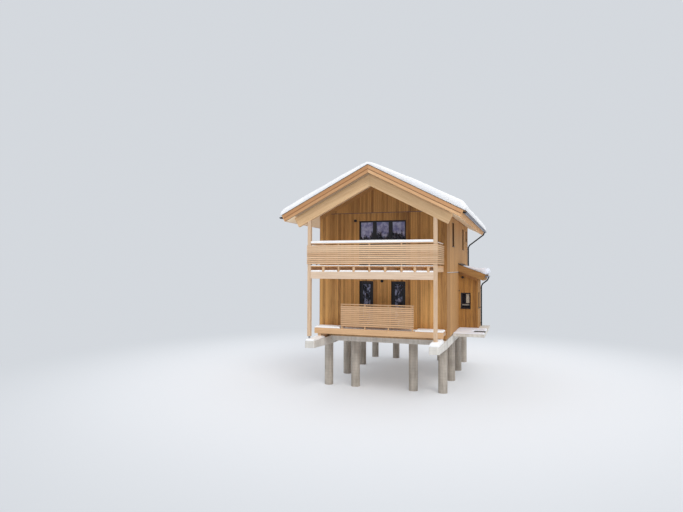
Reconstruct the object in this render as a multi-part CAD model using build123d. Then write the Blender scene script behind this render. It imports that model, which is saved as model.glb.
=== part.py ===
from build123d import *
from math import radians, sin, cos, tan
import os

# Alpine chalet on round concrete piers, in millimetres.
# It is drawn with X across the front, Y from the front posts to the back, and Z up from the terrace deck.
# At the end every piece is moved so that the origin lies under the middle of the house, at the pier feet.

# House body
house_width = 6310
house_length = 9640
wall_thickness = 320
storey_height = 3000
cladding_drop = 390
floor_thickness = 300
front_axis = 60

# Ground works
pier_diameter = 430
pier_foot_depth = 2980
beam_width = 450
beam_height = 410
beam_end_height = 320
beam_inset = 295
cross_beam_height = 250
beam_top_drop = 490
beam_front_reach = 230
beam_back_inset = 40
pier_row_front = 380
pier_row_back = 299
pier_rows = 4
inner_pier_offset = 1450
sill_inset = 40

# Roof
roof_pitch = 27.36
ridge_height = 7527
eave_overhang = 1040
roof_thickness = 357
sheet_thickness = 12
soffit_thickness = 26
front_verge = 380
back_verge = 690
verge_board_thickness = 24
verge_upper_depth = 190
eave_board_thickness = 30
frieze_thickness = 25
gable_frieze_depth = 183
side_frieze_depth = 70
seam_pitch = 600
seam_height = 25
seam_width = 8
sheet_lap = 15
sheet_fold_depth = 40
sheet_fold_thickness = 5
open_joint = 2

# Gable rafters and posts
post_size = 160
post_inset = 140
post_foot_height = 190
post_foot_size = 70
post_plate_size = 150
post_plate_thickness = 10
rafter_depth = 478
rafter_tail_length = 4340

# Terrace
terrace_depth = 2020
terrace_width = 6180
terrace_front = 960
terrace_edge_thickness = 60
terrace_edge_depth = 267
deck_board = 27
terrace_joist_width = 80
terrace_joist_depth = 200
terrace_joist_inset = 40
terrace_joists = 3
terrace_bearer_width = 160

# Railings
rail_width = 120
rail_thickness = 45
rail_gap = 52
slat_height = 76
slat_pitch = 88.5
slat_thickness = 26
balcony_slats = 10
terrace_slats = 11
panel_gap = 52
terrace_panel_gap = 122
stanchion_size = 60
terrace_rail_length = 3500
terrace_stanchions = 4
stanchion_inset = 60

# Balcony
front_beam_height = 330
front_beam_drop = 293
joist_width = 100
first_joist = 2230
joist_pitch = 735
joist_count = 6
end_joist_pitch = 595
balcony_deck_thickness = 80

# Openings
door_spacing = 1593
door_opening_width = 695
door_opening_height = 2250
gable_window_width = 2330
gable_window_height = 2190
gable_mullions = 2
mullion_width = 190
window_width = 700
window_head_height = 2193
window_height = 1230
small_window_height = 667
front_window_distance = 1950
rear_window_distance = 2380
small_window_distance = 540
lower_window_head = 2200
back_window_offset = 1500
back_door_width = 1000
frame_setback = 60
frame_depth = 80
frame_face = 70
glass_thickness = 24
sill_thickness = 30
sill_projection = 45
inner_door_inset = 750
inner_door_width = 900
inner_door_height = 2100

# Terrace door leaves and the back door
leaf_thickness = 70
leaf_face = 80
threshold_height = 40
hinge_gap = 5
latch_gap = 15
hinge_offset = 12
knuckle_radius = 9
knuckle_height = 40
pin_radius = 5
pin_clearance = 0.3
hinge_plate_width = 30
hinge_plate_thickness = 4
hinge_end_distance = 250
hinges_per_leaf = 2
handle_height = 1050
handle_edge_distance = 40
handle_plate_width = 30
handle_plate_height = 150
handle_plate_thickness = 6
handle_neck_width = 18
handle_reach = 45
lever_length = 120
lever_height = 20
lever_thickness = 12
back_leaf_thickness = 60

# Annex
annex_width = 1016
annex_distance = 4700
annex_length = 2000
annex_wall = 200
annex_pitch = 21
annex_roof_top = 3130
annex_roof_thickness = 360
annex_eave_overhang = 455
annex_verge = 300
annex_board_thickness = 24
annex_frieze_depth = 150
flashing_height = 100
flashing_thickness = 6
annex_window_width = 530
annex_window_height = 877
annex_window_head = 1562
annex_window_inset = 125
annex_side_window_start = 400
slab_thickness = 150
slab_reach = 2480
slab_width = 1550
slab_back_margin = 100
grate_wall_distance = 965
grate_front_distance = 630
grate_width = 550
grate_length = 690
grate_height = 30
grate_bar_pitch = 78
grate_bar_thickness = 6
grate_cross_bars = 1

# Rainwater goods
gutter_radius = 75
gutter_wall = 5
gutter_drop = 90
gutter_gap = 0.3
pipe_diameter = 80
pipe_wall_gap = 40
pipe_end_inset = 150
pipe_bend_cut = 90
pipe_outlet_length = 120
pipe_neck_drop = 870
pipe_clip_height = 40
pipe_foot_height = 500
annex_gutter_radius = 60
annex_pipe_diameter = 70
annex_pipe_neck_drop = 440

# Lamps
lamp_diameter = 130
lamp_depth = 90
upper_lamp_offset = 1350
upper_lamp_height = 2200
annex_lamp_distance = 235
annex_lamp_height = 2400
sensor_diameter = 70
sensor_depth = 60
sensor_distance = 45
sensor_height = 1670

# Snow that lies on the roofs and the balcony rails
snow_ridge_depth = 135
snow_left_depth = 178
snow_right_depth = 266
snow_crown_run = 600
snow_edge_run = 260
snow_edge_depth = 120
snow_brow_run = 120
snow_brow_depth = 104
snow_lip = 25
annex_snow_start = 185
annex_snow_rise = 420
annex_snow_crown = 1250
annex_snow_depth = 300
annex_snow_lip = 200
rail_snow_depth = 100

half_width = house_width / 2
beam_offset = half_width - beam_inset
inner_half = half_width - wall_thickness
front_y = terrace_depth
front_inner_y = front_y + wall_thickness
back_y = front_y + house_length
back_inner_y = back_y - wall_thickness
post_outer = half_width - post_inset
post_inner = post_outer - post_size
upper_floor_top = storey_height
beam_top = -beam_top_drop
beam_bottom = beam_top - beam_height
cross_beam_bottom = beam_top - cross_beam_height
window_head = upper_floor_top + window_head_height
annex_x = half_width + annex_width
annex_front = front_y + annex_distance
annex_back = annex_front + annex_length
pitch_sin = sin(radians(roof_pitch))
pitch_cos = cos(radians(roof_pitch))
pitch_tan = tan(radians(roof_pitch))
slope_length = (half_width + eave_overhang) / pitch_cos
verge_start = -front_verge
verge_end = back_y + back_verge
door_centres = (front_axis - door_spacing / 2, front_axis + door_spacing / 2)


def block(x0, x1, y0, y1, z0, z1):
    """A straight-sided block between two corners."""
    centre = Pos((x0 + x1) / 2, (y0 + y1) / 2, (z0 + z1) / 2)
    return centre * Box(abs(x1 - x0), abs(y1 - y0), abs(z1 - z0))


def prism(outline, y0, y1):
    """An outline in X and Z, drawn out along Y."""
    face = Face(Wire.make_polygon([(x, y0, z) for x, z in outline]))
    return extrude(face, amount=y1 - y0, dir=(0, 1, 0))


def side_prism(outline, x0, x1):
    """An outline in Y and Z, drawn out along X."""
    face = Face(Wire.make_polygon([(x0, y, z) for y, z in outline]))
    return extrude(face, amount=x1 - x0, dir=(1, 0, 0))


def mirrored(shape):
    """The same piece on the other side of the house's middle line."""
    return mirror(shape, about=Plane.YZ)


def group(*shapes):
    """Pieces of one kind that don't touch, kept together."""
    return Compound([solid for shape in shapes for solid in shape.solids()])


# Places on the right-hand roof slope: distance down it from the ridge, and depth below its top.

def on_slope(down, depth):
    return (down * pitch_cos - depth * pitch_sin, ridge_height - down * pitch_sin - depth * pitch_cos)


def slope_height(x, depth):
    return ridge_height - abs(x) * pitch_tan - depth / pitch_cos


def slope_strip(depth_top, depth_low, down_end, y0, y1, gap=0.0):
    """A layer of the right-hand slope from the ridge to a square-cut lower end."""
    outline = [
        (gap, slope_height(gap, depth_top)),
        on_slope(down_end, depth_top),
        on_slope(down_end, depth_low),
        (gap, slope_height(gap, depth_low)),
    ]
    return prism(outline, y0, y1)


# Sides of the house: each turns a piece drawn with its outer face at Y = 0 and inwards along +Y.

front_side = Pos(0, front_y, 0)
back_side = Pos(0, back_y, 0) * Rot(0, 0, 180)
right_side = Pos(half_width, 0, 0) * Rot(0, 0, 90)
left_side = Pos(-half_width, 0, 0) * Rot(0, 0, -90)
annex_front_side = Pos(0, annex_front, 0)
annex_right_side = Pos(annex_x, 0, 0) * Rot(0, 0, 90)


# Ground works. They and the terrace are drawn about X = 0, then moved to the middle line of the openings.

at_axis = Pos(front_axis, 0, 0)


def row_y(row):
    pitch = (house_length - pier_row_front - pier_row_back) / (pier_rows - 1)
    return front_y + pier_row_front + row * pitch


def pier(x, y, top):
    height = top + pier_foot_depth
    return Pos(x, y, top - height / 2) * Cylinder(pier_diameter / 2, height)


def piers():
    outer = [pier(side * beam_offset, row_y(row), beam_bottom)
             for row in range(pier_rows) for side in (-1, 1)]
    end_rows = (0, pier_rows - 1)
    inner = [pier(side * inner_pier_offset, row_y(row), cross_beam_bottom)
             for row in end_rows for side in (-1, 1)]
    return at_axis * group(*outer, *inner)


def foundation_beams():
    """Two long beams, each deepening from its free front end to the first pier."""
    outline = [
        (-beam_front_reach, beam_top),
        (back_y - beam_back_inset, beam_top),
        (back_y - beam_back_inset, beam_bottom),
        (row_y(0) - pier_diameter / 2, beam_bottom),
        (-beam_front_reach, beam_top - beam_end_height),
    ]
    beam = side_prism(outline, beam_offset - beam_width / 2, beam_offset + beam_width / 2)
    return at_axis * group(beam, mirrored(beam))


def foundation_cross_beams():
    reach = beam_offset - beam_width / 2
    rows = [row_y(row) for row in range(pier_rows)]
    return at_axis * group(*[block(-reach, reach, y - beam_width / 2, y + beam_width / 2,
                                   cross_beam_bottom, beam_top) for y in rows])


def annex_slab():
    """The landing, cast against the outer face of the long beam."""
    return block(front_axis + beam_offset + beam_width / 2, half_width + slab_width,
                 annex_front - slab_reach, annex_back + slab_back_margin,
                 -cladding_drop - slab_thickness, -cladding_drop)


def foot_grate():
    """A frame of flat bars with thin bars across it, lying on the landing."""
    x0 = half_width + grate_wall_distance
    x1 = x0 + grate_width
    y0 = annex_front - slab_reach + grate_front_distance
    y1 = y0 + grate_length
    z0 = -cladding_drop
    z1 = z0 + grate_height
    bar = grate_bar_thickness
    grate = block(x0, x1, y0, y1, z0, z1) - block(x0 + bar, x1 - bar, y0 + bar, y1 - bar, z0, z1)
    count = round(grate_width / grate_bar_pitch)
    step = (grate_width - bar) / count
    for number in range(1, count):
        x = x0 + number * step
        grate += block(x, x + bar, y0, y1, z0, z1)
    cross_step = (grate_length - bar) / (grate_cross_bars + 1)
    for number in range(1, grate_cross_bars + 1):
        y = y0 + number * cross_step
        grate += block(x0, x1, y, y + bar, z0, z1 - bar)
    return grate


# Floors

def ground_floor():
    sill = block(-half_width + sill_inset, half_width - sill_inset, front_y + sill_inset,
                 back_y - sill_inset, beam_top, -cladding_drop)
    floor = block(-inner_half, inner_half, front_inner_y, back_inner_y, -cladding_drop, 0)
    return sill + floor


def upper_floor():
    return block(-inner_half, inner_half, front_inner_y, back_inner_y,
                 upper_floor_top - floor_thickness, upper_floor_top)


# Windows and doors, drawn on their own wall with the outer face at Y = 0

def wall_opening(u, sill, width, height, depth):
    return block(u - width / 2, u + width / 2, -sill_projection, depth + sill_projection,
                 sill, sill + height)


def pane_places(u, width, mullions):
    """Start and end of each pane between a frame's sides and its upright mullions."""
    clear = width - 2 * frame_face
    pane = (clear - mullions * mullion_width) / (mullions + 1)
    starts = [u - clear / 2 + number * (pane + mullion_width) for number in range(mullions + 1)]
    return [(start, start + pane) for start in starts]


def glazed_frame(u, sill, width, height, mullions=0):
    """A fixed frame in its opening, with upright mullions that part it evenly."""
    low = frame_setback
    frame = block(u - width / 2, u + width / 2, low, low + frame_depth, sill, sill + height)
    for start, end in pane_places(u, width, mullions):
        frame -= block(start, end, low, low + frame_depth, sill + frame_face, sill + height - frame_face)
    return frame


def frame_glass(u, sill, width, height, mullions=0):
    middle = frame_setback + frame_depth / 2
    return group(*[block(start, end, middle - glass_thickness / 2, middle + glass_thickness / 2,
                         sill + frame_face, sill + height - frame_face)
                   for start, end in pane_places(u, width, mullions)])


def window_sill(u, sill, width):
    return block(u - width / 2, u + width / 2, -sill_projection, frame_setback,
                 sill, sill + sill_thickness)


def side_windows():
    """Centre along the house, sill and height of the upper side windows."""
    half = window_width / 2
    tall = window_head - window_height
    small = window_head - small_window_height
    return [
        (front_y + front_window_distance + half, tall, window_height),
        (back_y - rear_window_distance - half, tall, window_height),
        (back_y - small_window_distance - half, small, small_window_height),
    ]


def lower_side_windows():
    """The lower storey of the far side repeats the upper one's tall windows."""
    return [(u, lower_window_head - window_height, window_height)
            for u, sill, height in side_windows() if height == window_height]


def back_windows():
    """Two upper windows and one beside the back door."""
    upper = [(side * back_window_offset, window_head - window_height, window_height) for side in (-1, 1)]
    return upper + [(back_window_offset, lower_window_head - window_height, window_height)]


def window_places():
    """Every plain window: the side it is on, its centre, sill, width and height."""
    places = [(right_side, u, sill, window_width, height) for u, sill, height in side_windows()]
    far = side_windows() + lower_side_windows()
    places += [(left_side, -u, sill, window_width, height) for u, sill, height in far]
    places += [(back_side, u, sill, window_width, height) for u, sill, height in back_windows()]
    annex_sill = annex_window_head - annex_window_height
    front_u = half_width + annex_window_inset + annex_window_width / 2
    side_u = annex_front + annex_side_window_start + window_width / 2
    places.append((annex_front_side, front_u, annex_sill, annex_window_width, annex_window_height))
    places.append((annex_right_side, side_u, annex_sill, window_width, annex_window_height))
    return places


def cut_windows(wall, side, depth):
    for place, u, sill, width, height in window_places():
        if place is side:
            wall -= side * wall_opening(u, sill, width, height, depth)
    return wall


def window_frames():
    frames = []
    for side, u, sill, width, height in window_places():
        frames.append(side * (glazed_frame(u, sill, width, height) + window_sill(u, sill, width)))
    gable = glazed_frame(front_axis, upper_floor_top, gable_window_width, gable_window_height,
                         gable_mullions)
    frames.append(front_side * gable)
    return group(*frames)


def window_glass():
    panes = [side * frame_glass(u, sill, width, height)
             for side, u, sill, width, height in window_places()]
    panes.append(front_side * frame_glass(front_axis, upper_floor_top, gable_window_width,
                                          gable_window_height, gable_mullions))
    return group(*panes)


# House walls

def front_wall_base():
    return block(-half_width, half_width, front_y, front_inner_y, -cladding_drop, 0)


def front_wall_part(x0, x1):
    return block(x0, x1, front_y, front_inner_y, 0, door_opening_height)


def front_wall_left():
    return front_wall_part(-half_width, door_centres[0] - door_opening_width / 2)


def front_wall_middle():
    return front_wall_part(door_centres[0] + door_opening_width / 2,
                           door_centres[1] - door_opening_width / 2)


def front_wall_right():
    return front_wall_part(door_centres[1] + door_opening_width / 2, half_width)


def front_wall_lintel():
    return block(-half_width, half_width, front_y, front_inner_y, door_opening_height, upper_floor_top)


def gable_outline(bottom):
    shoulder = slope_height(half_width, roof_thickness)
    apex = slope_height(0, roof_thickness)
    return [(-half_width, bottom), (half_width, bottom), (half_width, shoulder), (0, apex),
            (-half_width, shoulder)]


def gable_wall_front():
    wall = prism(gable_outline(upper_floor_top), front_y, front_inner_y)
    opening = wall_opening(front_axis, upper_floor_top, gable_window_width, gable_window_height,
                           wall_thickness)
    return wall - front_side * opening


def back_door_centre():
    return -back_window_offset


def back_wall():
    wall = prism(gable_outline(-cladding_drop), back_inner_y, back_y)
    wall = cut_windows(wall, back_side, wall_thickness)
    door = wall_opening(back_door_centre(), 0, back_door_width, door_opening_height, wall_thickness)
    return wall - back_side * door


def long_wall():
    """A side wall between the gable walls, its top cut to the roof."""
    outline = [
        (inner_half, -cladding_drop),
        (half_width, -cladding_drop),
        (half_width, slope_height(half_width, roof_thickness)),
        (inner_half, slope_height(inner_half, roof_thickness)),
    ]
    return prism(outline, front_inner_y, back_inner_y)


def left_wall():
    return cut_windows(mirrored(long_wall()), left_side, wall_thickness)


def right_wall():
    wall = cut_windows(long_wall(), right_side, wall_thickness)
    centre = annex_front + inner_door_inset + inner_door_width / 2
    return wall - right_side * wall_opening(centre, 0, inner_door_width, inner_door_height, wall_thickness)


# Terrace doors

def clear_width():
    return door_opening_width - 2 * frame_face


def hinge_heights():
    """Middle of each hinge, spread evenly between the ends of a leaf."""
    low = threshold_height + hinge_end_distance
    high = door_opening_height - frame_face - hinge_end_distance
    step = (high - low) / (hinges_per_leaf - 1)
    return [low + number * step for number in range(hinges_per_leaf)]


def at_door(centre, hand):
    """Puts a piece drawn from its hinge pin, with the leaf along +X, into the left or right doorway."""
    pin_x = centre - hand * clear_width() / 2
    pin_y = front_y + frame_setback + frame_depth + hinge_offset
    place = Pos(pin_x, pin_y, 0)
    return lambda shape: place * (shape if hand > 0 else mirrored(shape))


def frame_hinge(z):
    """The fixed half of a hinge: its lower knuckle, its pin and its plate on the frame."""
    low = z - knuckle_height
    knuckle = Pos(0, 0, low + knuckle_height / 2) * Cylinder(knuckle_radius, knuckle_height)
    pin = Pos(0, 0, z + knuckle_height / 2) * Cylinder(pin_radius, knuckle_height)
    plate = block(-hinge_plate_width, 0, -hinge_offset, -hinge_offset + hinge_plate_thickness,
                  low, low + knuckle_height)
    return knuckle + pin + plate


def leaf_hinge(z):
    """The half that turns: a bored knuckle that stands on the fixed one, and its plate on the leaf."""
    low = z + pin_clearance
    knuckle = Pos(0, 0, low + knuckle_height / 2) * Cylinder(knuckle_radius, knuckle_height)
    plate = block(0, hinge_plate_width, -hinge_offset, -hinge_offset + hinge_plate_thickness,
                  low, low + knuckle_height)
    bore = Pos(0, 0, low + knuckle_height / 2) * Cylinder(pin_radius + pin_clearance, 2 * knuckle_height)
    return knuckle + plate - bore


def door_frame(centre, hand):
    low = frame_setback
    frame = block(centre - door_opening_width / 2, centre + door_opening_width / 2,
                  low, low + frame_depth, 0, door_opening_height)
    frame -= block(centre - clear_width() / 2, centre + clear_width() / 2, low, low + frame_depth,
                   threshold_height, door_opening_height - frame_face)
    frame = front_side * frame
    put = at_door(centre, hand)
    for z in hinge_heights():
        frame += put(frame_hinge(z))
    return frame


def terrace_door_frames():
    return group(door_frame(door_centres[0], 1), door_frame(door_centres[1], -1))


def leaf_outline():
    """Start and end of a leaf along X and Z, from its hinge pin."""
    return (hinge_gap, clear_width() - latch_gap, threshold_height + hinge_gap,
            door_opening_height - frame_face - hinge_gap)


def door_handle(x, face, z):
    """A lever on its plate, standing out along +Y from a leaf's face at the given Y."""
    plate = block(x - handle_plate_width / 2, x + handle_plate_width / 2,
                  face, face + handle_plate_thickness,
                  z - handle_plate_height / 2, z + handle_plate_height / 2)
    neck = handle_neck_width / 2
    stem = block(x - neck, x + neck, face, face + handle_reach, z - neck, z + neck)
    end = x + lever_height / 2
    lever = block(end - lever_length, end, face + handle_reach, face + handle_reach + lever_thickness,
                  z - lever_height / 2, z + lever_height / 2)
    return plate + stem + lever


def door_leaf():
    x0, x1, z0, z1 = leaf_outline()
    back = -hinge_offset
    leaf = block(x0, x1, back - leaf_thickness, back, z0, z1)
    leaf -= block(x0 + leaf_face, x1 - leaf_face, back - leaf_thickness, back,
                  z0 + leaf_face, z1 - leaf_face)
    leaf += door_handle(x1 - handle_edge_distance, back, handle_height)
    for z in hinge_heights():
        leaf += leaf_hinge(z)
    return leaf


def leaf_glass():
    x0, x1, z0, z1 = leaf_outline()
    middle = -hinge_offset - leaf_thickness / 2
    return block(x0 + leaf_face, x1 - leaf_face, middle - glass_thickness / 2, middle + glass_thickness / 2,
                 z0 + leaf_face, z1 - leaf_face)


def back_door():
    """A closed door: a frame like the terrace doors have, and a leaf in it with its lever outside."""
    u = back_door_centre()
    half = back_door_width / 2
    low = frame_setback
    frame = block(u - half, u + half, low, low + frame_depth, 0, door_opening_height)
    frame -= block(u - half + frame_face, u + half - frame_face, low, low + frame_depth,
                   threshold_height, door_opening_height - frame_face)
    face = low + frame_depth - back_leaf_thickness
    leaf = block(u - half + frame_face, u + half - frame_face, face, low + frame_depth,
                 threshold_height, door_opening_height - frame_face)
    handle = door_handle(u + half - frame_face - handle_edge_distance, 0, handle_height)
    handle = Pos(0, face, 0) * mirror(handle, about=Plane.XZ)
    return back_side * group(frame, leaf + handle)


# Annex

annex_tan = tan(radians(annex_pitch))
annex_cos = cos(radians(annex_pitch))
annex_sin = sin(radians(annex_pitch))
annex_slope = (annex_width + annex_eave_overhang) / annex_cos


def annex_on_slope(down, depth):
    return (half_width + down * annex_cos - depth * annex_sin,
            annex_roof_top - down * annex_sin - depth * annex_cos)


def annex_height(x, depth):
    return annex_roof_top - (x - half_width) * annex_tan - depth / annex_cos


def annex_strip(depth_top, depth_low, down_end, y0, y1):
    """A layer of the lean-to roof from the house wall to its square-cut eave."""
    outline = [
        (half_width, annex_height(half_width, depth_top)),
        annex_on_slope(down_end, depth_top),
        annex_on_slope(down_end, depth_low),
        (half_width, annex_height(half_width, depth_low)),
    ]
    return prism(outline, y0, y1)


def annex_end_wall(y0, y1):
    outline = [
        (half_width, -cladding_drop),
        (annex_x, -cladding_drop),
        (annex_x, annex_height(annex_x, annex_roof_thickness)),
        (half_width, annex_height(half_width, annex_roof_thickness)),
    ]
    return prism(outline, y0, y1)


def annex_end_walls():
    front = cut_windows(annex_end_wall(annex_front, annex_front + annex_wall), annex_front_side, annex_wall)
    return group(front, annex_end_wall(annex_back - annex_wall, annex_back))


def annex_side_wall():
    outline = [
        (annex_x - annex_wall, -cladding_drop),
        (annex_x, -cladding_drop),
        (annex_x, annex_height(annex_x, annex_roof_thickness)),
        (annex_x - annex_wall, annex_height(annex_x - annex_wall, annex_roof_thickness)),
    ]
    wall = prism(outline, annex_front + annex_wall, annex_back - annex_wall)
    return cut_windows(wall, annex_right_side, annex_wall)


def annex_floor():
    return block(half_width, annex_x - annex_wall, annex_front + annex_wall, annex_back - annex_wall,
                 -cladding_drop, 0)


annex_verge_start = annex_front - annex_verge
annex_verge_end = annex_back + annex_verge


def annex_roof():
    return annex_strip(sheet_thickness, annex_roof_thickness, annex_slope - annex_board_thickness,
                       annex_verge_start + annex_board_thickness, annex_verge_end - annex_board_thickness)


def annex_roof_boards():
    end = annex_slope - annex_board_thickness - open_joint
    front = annex_strip(sheet_thickness, annex_roof_thickness, end,
                        annex_verge_start, annex_verge_start + annex_board_thickness)
    back = annex_strip(sheet_thickness, annex_roof_thickness, end,
                       annex_verge_end - annex_board_thickness, annex_verge_end)
    eave_outline = [
        annex_on_slope(annex_slope - annex_board_thickness, sheet_thickness),
        annex_on_slope(annex_slope, sheet_thickness),
        annex_on_slope(annex_slope, annex_roof_thickness),
        annex_on_slope(annex_slope - annex_board_thickness, annex_roof_thickness),
    ]
    return group(front, back, prism(eave_outline, annex_verge_start, annex_verge_end))


def annex_roof_sheet():
    return annex_strip(0, sheet_thickness, annex_slope, annex_verge_start, annex_verge_end)


def flashings():
    """The sheet turned up against the house wall along the top of the lean-to roof."""
    outer = half_width + flashing_thickness
    top = annex_roof_top + flashing_height
    outline = [
        (half_width, annex_roof_top),
        (outer, annex_height(outer, 0)),
        (outer, top),
        (half_width, top),
    ]
    return prism(outline, annex_verge_start, annex_verge_end)


# Main roof

def roof_right():
    return slope_strip(sheet_thickness, roof_thickness - soffit_thickness,
                       slope_length - eave_board_thickness,
                       verge_start + verge_board_thickness * 2, verge_end - verge_board_thickness * 2)


def soffits():
    right = slope_strip(roof_thickness - soffit_thickness, roof_thickness,
                        slope_length - eave_board_thickness,
                        verge_start + verge_board_thickness * 2, verge_end - verge_board_thickness * 2,
                        open_joint / 2)
    return group(right, mirrored(right))


def standing_seams():
    """Upright folds of the roof sheet, running from the ridge to the eave at an even pitch."""
    length = verge_end - verge_start
    count = round(length / seam_pitch)
    step = length / count
    ribs = []
    for number in range(1, count):
        y = verge_start + number * step
        outline = [
            (seam_pitch / 2, slope_height(seam_pitch / 2, -seam_height)),
            on_slope(slope_length, -seam_height),
            on_slope(slope_length, 0),
            (seam_pitch / 2, slope_height(seam_pitch / 2, 0)),
        ]
        ribs.append(prism(outline, y - seam_width / 2, y + seam_width / 2))
    return ribs


def sheet_fold(edge, outward):
    """The sheet's edge over a verge board, folded down in front of it."""
    lap = edge + outward * sheet_lap
    fold = lap - outward * sheet_fold_thickness
    top = slope_strip(0, sheet_thickness, slope_length, min(edge, lap), max(edge, lap), open_joint / 2)
    return top + slope_strip(0, sheet_fold_depth, slope_length, min(lap, fold), max(lap, fold),
                             open_joint / 2)


def roof_sheets():
    right = slope_strip(0, sheet_thickness, slope_length, verge_start, verge_end, open_joint / 2)
    right = right + standing_seams()
    right = right + [sheet_fold(verge_start, -1), sheet_fold(verge_end, 1)]
    return group(right, mirrored(right))


def verge_board(front):
    """The stepped double board on one end of the right-hand slope, its upper board proud."""
    sign = 1 if front else -1
    edge = verge_start if front else verge_end
    lower_face = edge + sign * verge_board_thickness
    inner_face = edge + sign * verge_board_thickness * 2
    upper = slope_strip(sheet_thickness, verge_upper_depth, slope_length - eave_board_thickness - open_joint,
                        edge, lower_face, open_joint / 2)
    lower = slope_strip(sheet_thickness, roof_thickness, slope_length - eave_board_thickness - open_joint,
                        lower_face, inner_face, open_joint / 2)
    return upper + lower


def verge_boards():
    boards = [verge_board(True), verge_board(False)]
    return group(*boards, *[mirrored(board) for board in boards])


def eave_boards():
    outline = [
        on_slope(slope_length - eave_board_thickness, sheet_thickness),
        on_slope(slope_length, sheet_thickness),
        on_slope(slope_length, roof_thickness),
        on_slope(slope_length - eave_board_thickness, roof_thickness),
    ]
    board = prism(outline, verge_start, verge_end)
    return group(board, mirrored(board))


def frieze_boards():
    """Boards on the walls close under the soffits, of the house and of the annex."""
    boards = []
    for start in (front_y - frieze_thickness, back_y):
        outline = [
            (open_joint / 2, slope_height(open_joint / 2, roof_thickness)),
            (half_width, slope_height(half_width, roof_thickness)),
            (half_width, slope_height(half_width, roof_thickness + gable_frieze_depth)),
            (open_joint / 2, slope_height(open_joint / 2, roof_thickness + gable_frieze_depth)),
        ]
        board = prism(outline, start, start + frieze_thickness)
        boards += [board, mirrored(board)]
    outer = half_width + frieze_thickness
    outline = [
        (half_width, slope_height(half_width, roof_thickness)),
        (outer, slope_height(outer, roof_thickness)),
        (outer, slope_height(half_width, roof_thickness) - side_frieze_depth),
        (half_width, slope_height(half_width, roof_thickness) - side_frieze_depth),
    ]
    side = prism(outline, front_y - frieze_thickness, back_y + frieze_thickness)
    boards += [side, mirrored(side)]
    depth = annex_roof_thickness
    outline = [
        (half_width, annex_height(half_width, depth)),
        (annex_x, annex_height(annex_x, depth)),
        (annex_x, annex_height(annex_x, depth + annex_frieze_depth)),
        (half_width, annex_height(half_width, depth + annex_frieze_depth)),
    ]
    for start in (annex_front - frieze_thickness, annex_back):
        boards.append(prism(outline, start, start + frieze_thickness))
    return group(*boards)


def gable_rafters():
    right = slope_strip(roof_thickness, roof_thickness + rafter_depth, rafter_tail_length,
                        0, post_size, open_joint / 2)
    return group(right, mirrored(right))


# Posts

def post():
    """A square post on the right, its head cut to the underside of the rafter."""
    foot = beam_top + post_foot_height
    depth = roof_thickness + rafter_depth
    outline = [
        (post_inner, foot),
        (post_outer, foot),
        (post_outer, slope_height(post_outer, depth)),
        (post_inner, slope_height(post_inner, depth)),
    ]
    return prism(outline, 0, post_size)


def posts():
    return group(post(), mirrored(post()))


def post_foot():
    """A steel shoe: a plate on the beam, an upright and a plate under the post."""
    centre_x = (post_inner + post_outer) / 2
    centre_y = post_size / 2
    plate = post_plate_size / 2
    upright = post_foot_size / 2
    top = beam_top + post_foot_height
    foot = block(centre_x - plate, centre_x + plate, centre_y - plate, centre_y + plate,
                 beam_top, beam_top + post_plate_thickness)
    head = block(centre_x - plate, centre_x + plate, centre_y - plate, centre_y + plate,
                 top - post_plate_thickness, top)
    stem = block(centre_x - upright, centre_x + upright, centre_y - upright, centre_y + upright,
                 beam_top, top)
    return foot + stem + head


def post_feet():
    return group(post_foot(), mirrored(post_foot()))


# Terrace

terrace_half = terrace_width / 2


def terrace_edge():
    return at_axis * block(-terrace_half, terrace_half,
                           terrace_front, terrace_front + terrace_edge_thickness, -terrace_edge_depth, 0)


def terrace_joist_rows():
    """Joists across the house under the deck, the last one against the front wall."""
    edge_back = terrace_front + terrace_edge_thickness
    step = (front_y - edge_back) / terrace_joists
    half = terrace_half - terrace_joist_inset
    rows = [edge_back + (number + 1) * step for number in range(terrace_joists)]
    low = -deck_board - terrace_joist_depth
    return at_axis * group(*[block(-half, half, y - terrace_joist_width, y, low, -deck_board) for y in rows])


def terrace_bearers():
    """A timber on each foundation beam, under the joists and against the edge board."""
    bearer = block(beam_offset - terrace_bearer_width / 2, beam_offset + terrace_bearer_width / 2,
                   terrace_front + terrace_edge_thickness, front_y,
                   beam_top, -deck_board - terrace_joist_depth)
    return at_axis * group(bearer, mirrored(bearer))


def terrace_deck():
    return at_axis * block(-terrace_half, terrace_half, terrace_front + terrace_edge_thickness, front_y,
                           -deck_board, 0)


def slat_row(x0, x1, y0, y1, bottom, count):
    return group(*[block(x0, x1, y0, y1, bottom + number * slat_pitch,
                         bottom + number * slat_pitch + slat_height) for number in range(count)])


def panel_height(gap, count):
    return gap + (count - 1) * slat_pitch + slat_height


def terrace_panel():
    half = terrace_rail_length / 2
    return at_axis * slat_row(-half, half, terrace_front - slat_thickness, terrace_front,
                              terrace_panel_gap, terrace_slats)


def terrace_rail():
    half = terrace_rail_length / 2
    low = panel_height(terrace_panel_gap, terrace_slats) + rail_gap
    middle = terrace_front + terrace_edge_thickness / 2
    rail = block(-half, half, middle - rail_width / 2, middle + rail_width / 2, low, low + rail_thickness)
    step = (terrace_rail_length - 2 * stanchion_inset) / (terrace_stanchions - 1)
    for number in range(terrace_stanchions):
        x = -half + stanchion_inset + number * step
        rail += block(x - stanchion_size / 2, x + stanchion_size / 2,
                      terrace_front, terrace_front + stanchion_size, 0, low)
    return at_axis * rail


# Balcony

deck_low = upper_floor_top - balcony_deck_thickness
front_beam_top = upper_floor_top - front_beam_drop
rail_low = upper_floor_top + panel_height(panel_gap, balcony_slats) + rail_gap


def joist_places():
    places = [-first_joist + number * joist_pitch for number in range(joist_count)]
    places += [places[-1] + end_joist_pitch, places[-1] + 2 * end_joist_pitch]
    return places


def stanchion_places():
    """Every second joist from the second one ends behind a stanchion."""
    return joist_places()[1:joist_count:2]


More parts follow.
